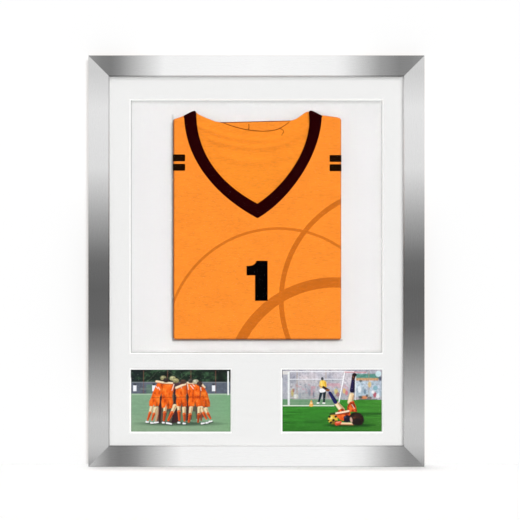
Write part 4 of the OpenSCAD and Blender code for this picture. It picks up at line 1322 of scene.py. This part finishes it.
    # the far leg, the near leg, the body, the arms and the hair
    skin, light, dark = (238, 208, 164), (255, 240, 200), (150, 96, 58)
    c.limb(117.6, 62, 115.2, 50, 4.2, 4.6, skin, 0.9)
    c.limb(115.4, 62, 113.2, 52, 1.2, 1.4, light, 1.4, 0.8)
    c.limb(120.6, 61, 118.8, 50, 1, 1.2, dark, 1.4, 0.7)
    c.limb(120.2, 88, 118.6, 70, 2.9, 4.2, (30, 22, 66), 0.8)
    c.limb(121.8, 87, 120.8, 69, 0.9, 1.6, (16, 12, 40), 1.4, 0.8)
    c.limb(116.4, 68.2, 122, 67.6, 1.2, 1.2, (20, 14, 38), 0.9, 0.9)
    c.limb(121.6, 95.6, 120.4, 90, 3.4, 2.7, (52, 28, 28), 0.8)
    c.blob(122.6, 96.4, 3.8, 3.2, (26, 16, 18), soft=0.9)
    c.limb(119.4, 94.2, 121.4, 91.6, 0.7, 0.6, (150, 92, 66), 0.9, 0.7)
    c.limb(92, 48, 101, 37, 3.6, 4.6, skin, 0.9)
    c.limb(90.8, 47, 98.4, 37, 1.1, 1.3, light, 1.4, 0.8)
    c.limb(94.6, 48.8, 103.6, 38.6, 0.9, 1.1, dark, 1.3, 0.7)
    c.limb(90, 50.4, 80.6, 66, 3.6, 2.5, (28, 30, 88), 0.8)
    c.limb(92, 51.4, 82.6, 66.4, 1.2, 0.8, (14, 18, 54), 1.3, 0.8)
    c.limb(77.6, 70.4, 69.6, 75.4, 2.5, 2.1, (46, 28, 26), 0.8)
    c.limb(79, 70.6, 75.4, 70.2, 1.5, 1.6, (158, 92, 58), 0.9, 0.8)
    shorts = c.shape([(110.4, 43), (115.2, 50.6), (121.4, 52), (124.4, 44), (127, 33.6), (110, 34)],
                     (208, 72, 26), 0.9)
    torso = c.shape([(91, 30), (95.6, 36.4), (101, 39.6), (108, 35.6), (115, 34.6), (116, 22), (108, 17),
                     (99, 19.6), (93, 24.4)], (232, 92, 32), 0.9)
    folds = c.cloud(3.4, 3, 61, 3)
    for mask in (shorts, torso):
        c.cover(mask * np.clip(folds * 2.8, 0, 1), (112, 30, 14), 0.85)
        c.cover(mask * np.clip(-folds * 2.6 - 0.4, 0, 1), (252, 134, 62), 0.7)
    c.limb(118, 46, 122.4, 39.4, 0.5, 0.5, (246, 220, 206), 0.7, 0.85)
    c.limb(113, 47, 111.4, 39, 1, 0.8, (120, 30, 18), 1.3, 0.7)
    c.limb(91.6, 29.6, 113, 34, 1.5, 1.5, (128, 60, 34), 1, 0.7)
    c.limb(91, 31, 112.5, 35, 1.4, 1.5, (250, 226, 196), 0.8)
    c.shape([(104.6, 26), (110.4, 28.6), (115.6, 26.6), (116.8, 18), (110, 14.6), (104, 17.4)], (16, 18, 34),
            1.2)
    c.blob(106.6, 24.4, 2.2, 1.6, (56, 62, 96), soft=1.4, alpha=0.7)
    c.blob(85.6, 20.8, 8.2, 7.8, (226, 190, 66), soft=0.9)
    c.blob(87.6, 15.8, 5.6, 3.6, (92, 66, 20), soft=2.4, alpha=0.85)
    c.blob(82.6, 23.8, 2.6, 2.2, (255, 236, 150), soft=1.8, alpha=0.8)
    patches = [(80.2, 25.2, 2.2), (86.8, 19.6, 2.3), (90.6, 25.4, 2.3), (82.2, 15.2, 2.2), (91.6, 17.4, 1.9),
               (78.6, 19, 1.5)]
    for x, z, r in patches:
        c.blob(x, z, r, r * 0.85, (20, 17, 16), 20, soft=0.9)
    c.limb(81.6, 29.6, 88.5, 30.6, 1.5, 1.6, (48, 34, 28), 0.9, 0.9)
    c.limb(86, 27.4, 90.6, 27.8, 0.9, 1, (224, 110, 60), 0.9, 0.8)
    c.limb(92.4, 13.8, 98.4, 14.8, 3.5, 3, (222, 84, 52), 0.9)
    c.limb(92, 15.6, 97, 16.4, 1, 0.9, (255, 172, 140), 1.2, 0.7)
    c.limb(93, 11.4, 99, 12, 1, 0.8, (120, 34, 24), 1.2, 0.7)
    c.limb(101, 13.6, 121, 13.2, 1.8, 1.8, (240, 196, 150), 0.8)
    c.limb(101, 14.6, 121, 14.2, 0.6, 0.6, (255, 236, 200), 1, 0.8)
    c.limb(101, 12, 121, 11.6, 0.6, 0.6, (170, 84, 44), 1, 0.8)
    hair = c.shape([(113.6, 26.6), (118, 31.4), (124.6, 33.2), (132.4, 31.4), (137.6, 25.6), (139.2, 18.6),
                    (135.8, 12), (128.4, 10.4), (120.6, 11.4), (117, 16), (115.4, 21)], (22, 11, 11), 1.1)
    strands = c.cloud(1.6, 3.6, 71, 3)
    c.cover(hair * np.clip(strands * 2.4 - 0.5, 0, 1), (84, 42, 34), 0.38)
    c.cover(hair * np.clip(-strands * 2.4, 0, 1), (8, 5, 6), 0.7)
    for k in range(8):
        a = math.radians(196 - k * 26)
        end_x, end_z = 126.6 + 9.8 * math.cos(a), 21.6 + 9.6 * math.sin(a)
        c.limb(122, 23, end_x, end_z, 0.35, 0.25, (120, 66, 48), 0.9, 0.45)
    c.blob(116.8, 20, 2, 4.4, (222, 178, 160), 12, 1.1, 0.85)
    c.tone(c.cloud(1.7, 1.7, 41, 2), 0.1)
    c.painted_window_shadow()
    return c.build("photo_keeper", "photo_print_right", photo_finish)


paint_huddle()
paint_keeper()


# ------------------------------------------------------------------ stage, light and camera

def plane(name, corners, material):
    mesh = bpy.data.meshes.new(name)
    mesh.from_pydata(corners, [], [(0, 1, 2, 3)])
    mesh.materials.append(material)
    obj = bpy.data.objects.new(name, mesh)
    bpy.context.scene.collection.objects.link(obj)
    return obj


def white_stage(name, glow, one_sided=False):
    """A faintly glowing white. One-sided, it is clear from behind."""
    s = Shader(name)
    s.finish(Base_Color=(0.9, 0.9, 0.9, 1), Roughness=1.0, Specular_IOR_Level=0.0,
             Emission_Color=(1, 1, 1, 1), Emission_Strength=glow)
    if one_sided:
        clear = s.node("BsdfTransparent")
        both = s.node("MixShader")
        s.put(both.inputs[0], s.node("NewGeometry").outputs["Backfacing"])
        s.tree.links.new(s.bsdf.outputs[0], both.inputs[1])
        s.tree.links.new(clear.outputs[0], both.inputs[2])
        s.tree.links.new(both.outputs[0], s.tree.nodes["Material Output"].inputs["Surface"])
    return s.mat


wall_y = cad_box[1][1]
floor = plane("floor", [(-6, -6, 0), (6, -6, 0), (6, 6, 0), (-6, 6, 0)], white_stage("floor_white", 0.34))
wall = plane("wall", [(-6, wall_y, 0), (6, wall_y, 0), (6, wall_y, 5), (-6, wall_y, 5)],
             white_stage("wall_white", 0.38, True))
for obj in (floor, wall):
    obj.visible_diffuse = False
    obj.visible_glossy = False
wall.visible_shadow = False

# An even white studio. Gloss sees a little less light straight up and straight down, so bevels read
# against faces.
world = bpy.data.worlds.new("studio")
bpy.context.scene.world = world
world.use_nodes = True
tree = world.node_tree
background = tree.nodes["Background"]
background.inputs["Color"].default_value = (1, 1, 1, 1)


rays = new_node(tree, "LightPath")
towards = new_node(tree, "SeparateXYZ")
tree.links.new(new_node(tree, "TexCoord").outputs["Generated"], towards.inputs[0])
height = new_node(tree, "MapRange")
height.inputs["From Min"].default_value = -1.0
tree.links.new(towards.outputs[2], height.inputs["Value"])
sky = new_node(tree, "ValToRGB")
levels = (0.0, 0.5), (0.34, 1.0), (0.66, 1.0), (1.0, 0.8)
set_stops(sky.color_ramp, [(at, (level, level, level, 1)) for at, level in levels])
tree.links.new(height.outputs[0], sky.inputs[0])
soft = new_node(tree, "Mix")
tree.links.new(rays.outputs["Is Diffuse Ray"], soft.inputs[0])
tree.links.new(sky.outputs[0], soft.inputs[2])
soft.inputs[3].default_value = 0.36
seen = new_node(tree, "Mix")
tree.links.new(rays.outputs["Is Camera Ray"], seen.inputs[0])
tree.links.new(soft.outputs[0], seen.inputs[2])
seen.inputs[3].default_value = 1.0
tree.links.new(seen.outputs[0], background.inputs["Strength"])


def linked(name, objects, state="EXCLUDE"):
    """A light-linking collection that leaves these objects out, or takes in only these."""
    made = bpy.data.collections.new(name)
    for obj in objects:
        made.objects.link(obj)
    for member in made.collection_objects:
        member.light_linking.link_state = state
    return made


def lamp(name, azimuth, elevation, energy, size, not_on=(), only_on=(), not_behind=()):
    """A soft lamp, azimuth degrees right of the camera and elevation above it.

    It lights all but not_on, or nothing but only_on, and not_behind throw no shadow in its light.
    """
    sun = bpy.data.lights.new(name, "SUN")
    sun.energy = energy
    sun.angle = math.radians(size)
    obj = bpy.data.objects.new(name, sun)
    a, e = math.radians(azimuth), math.radians(elevation)
    way = Vector((-math.sin(a) * math.cos(e), math.cos(a) * math.cos(e), -math.sin(e)))
    obj.rotation_euler = way.to_track_quat("-Z", "Y").to_euler()
    obj.visible_glossy = False
    bpy.context.scene.collection.objects.link(obj)
    if not_on or only_on:
        state = "INCLUDE" if only_on else "EXCLUDE"
        obj.light_linking.receiver_collection = linked(name + "_on", not_on or only_on, state)
    if not_behind:
        obj.light_linking.blocker_collection = linked(name + "_past", not_behind)


stage = [floor, wall]
rails = [NODES[n] for n in ("top_rail", "bottom_rail", "left_rail", "right_rail")]
mount = NODES["mount_board"]
shirt_board = NODES["shirt_backing_board"]
spacers = [NODES[n] for n in NODES if n.startswith("spacer_")]
lamp("key_right", 11, 9, 1.08, 9, not_on=[shirt_board])
lamp("key_left", -9, 12, 0.55, 4, not_on=stage, not_behind=rails)
lamp("fill_left", -8, 3, 0.35, 7, not_on=[*stage, shirt_board], not_behind=rails)
lamp("key_high", 30, 34, 1.2, 20, not_on=[*stage, *spacers], not_behind=[mount, *spacers])
lamp("bevel_low", 0, -82, 0.95, 6, only_on=[mount], not_behind=[*rails, *stage])
lamp("bay_right", 9, 12, 0.66, 4, only_on=[shirt_board], not_behind=rails)
lamp("bay_low", 0, -10, 0.22, 4, only_on=[shirt_board], not_behind=[*rails, *stage])
lamp("bay_near", 22, 18, 0.52, 6, only_on=[shirt_board], not_behind=[mount, *rails, *spacers])
lamp("bay_high", 28, 30, 0.14, 10, only_on=[shirt_board], not_behind=[mount, *rails, *spacers])
lamp("behind", 158, 32, 1.5, 10, not_on=stage)
lamp("floor_top", 200, 86, 1.05, 6, only_on=[floor])

camera = bpy.data.cameras.new("camera")
camera.lens = 120
camera.sensor_width = 36
PICTURE_WIDTH = 879.84 * MM
distance = PICTURE_WIDTH * camera.lens / camera.sensor_width
eye = bpy.data.objects.new("camera", camera)
middle = (Vector(cad_box[0]) + Vector(cad_box[1])) / 2
eye.location = (middle.x + 6.0 * MM, cad_box[0][1] - distance, middle.z + 1.8 * MM)
eye.rotation_euler = (math.pi / 2, 0, 0)
camera.clip_end = 50
bpy.context.scene.collection.objects.link(eye)
bpy.context.scene.camera = eye
bpy.context.scene.view_settings.view_transform = "Standard"
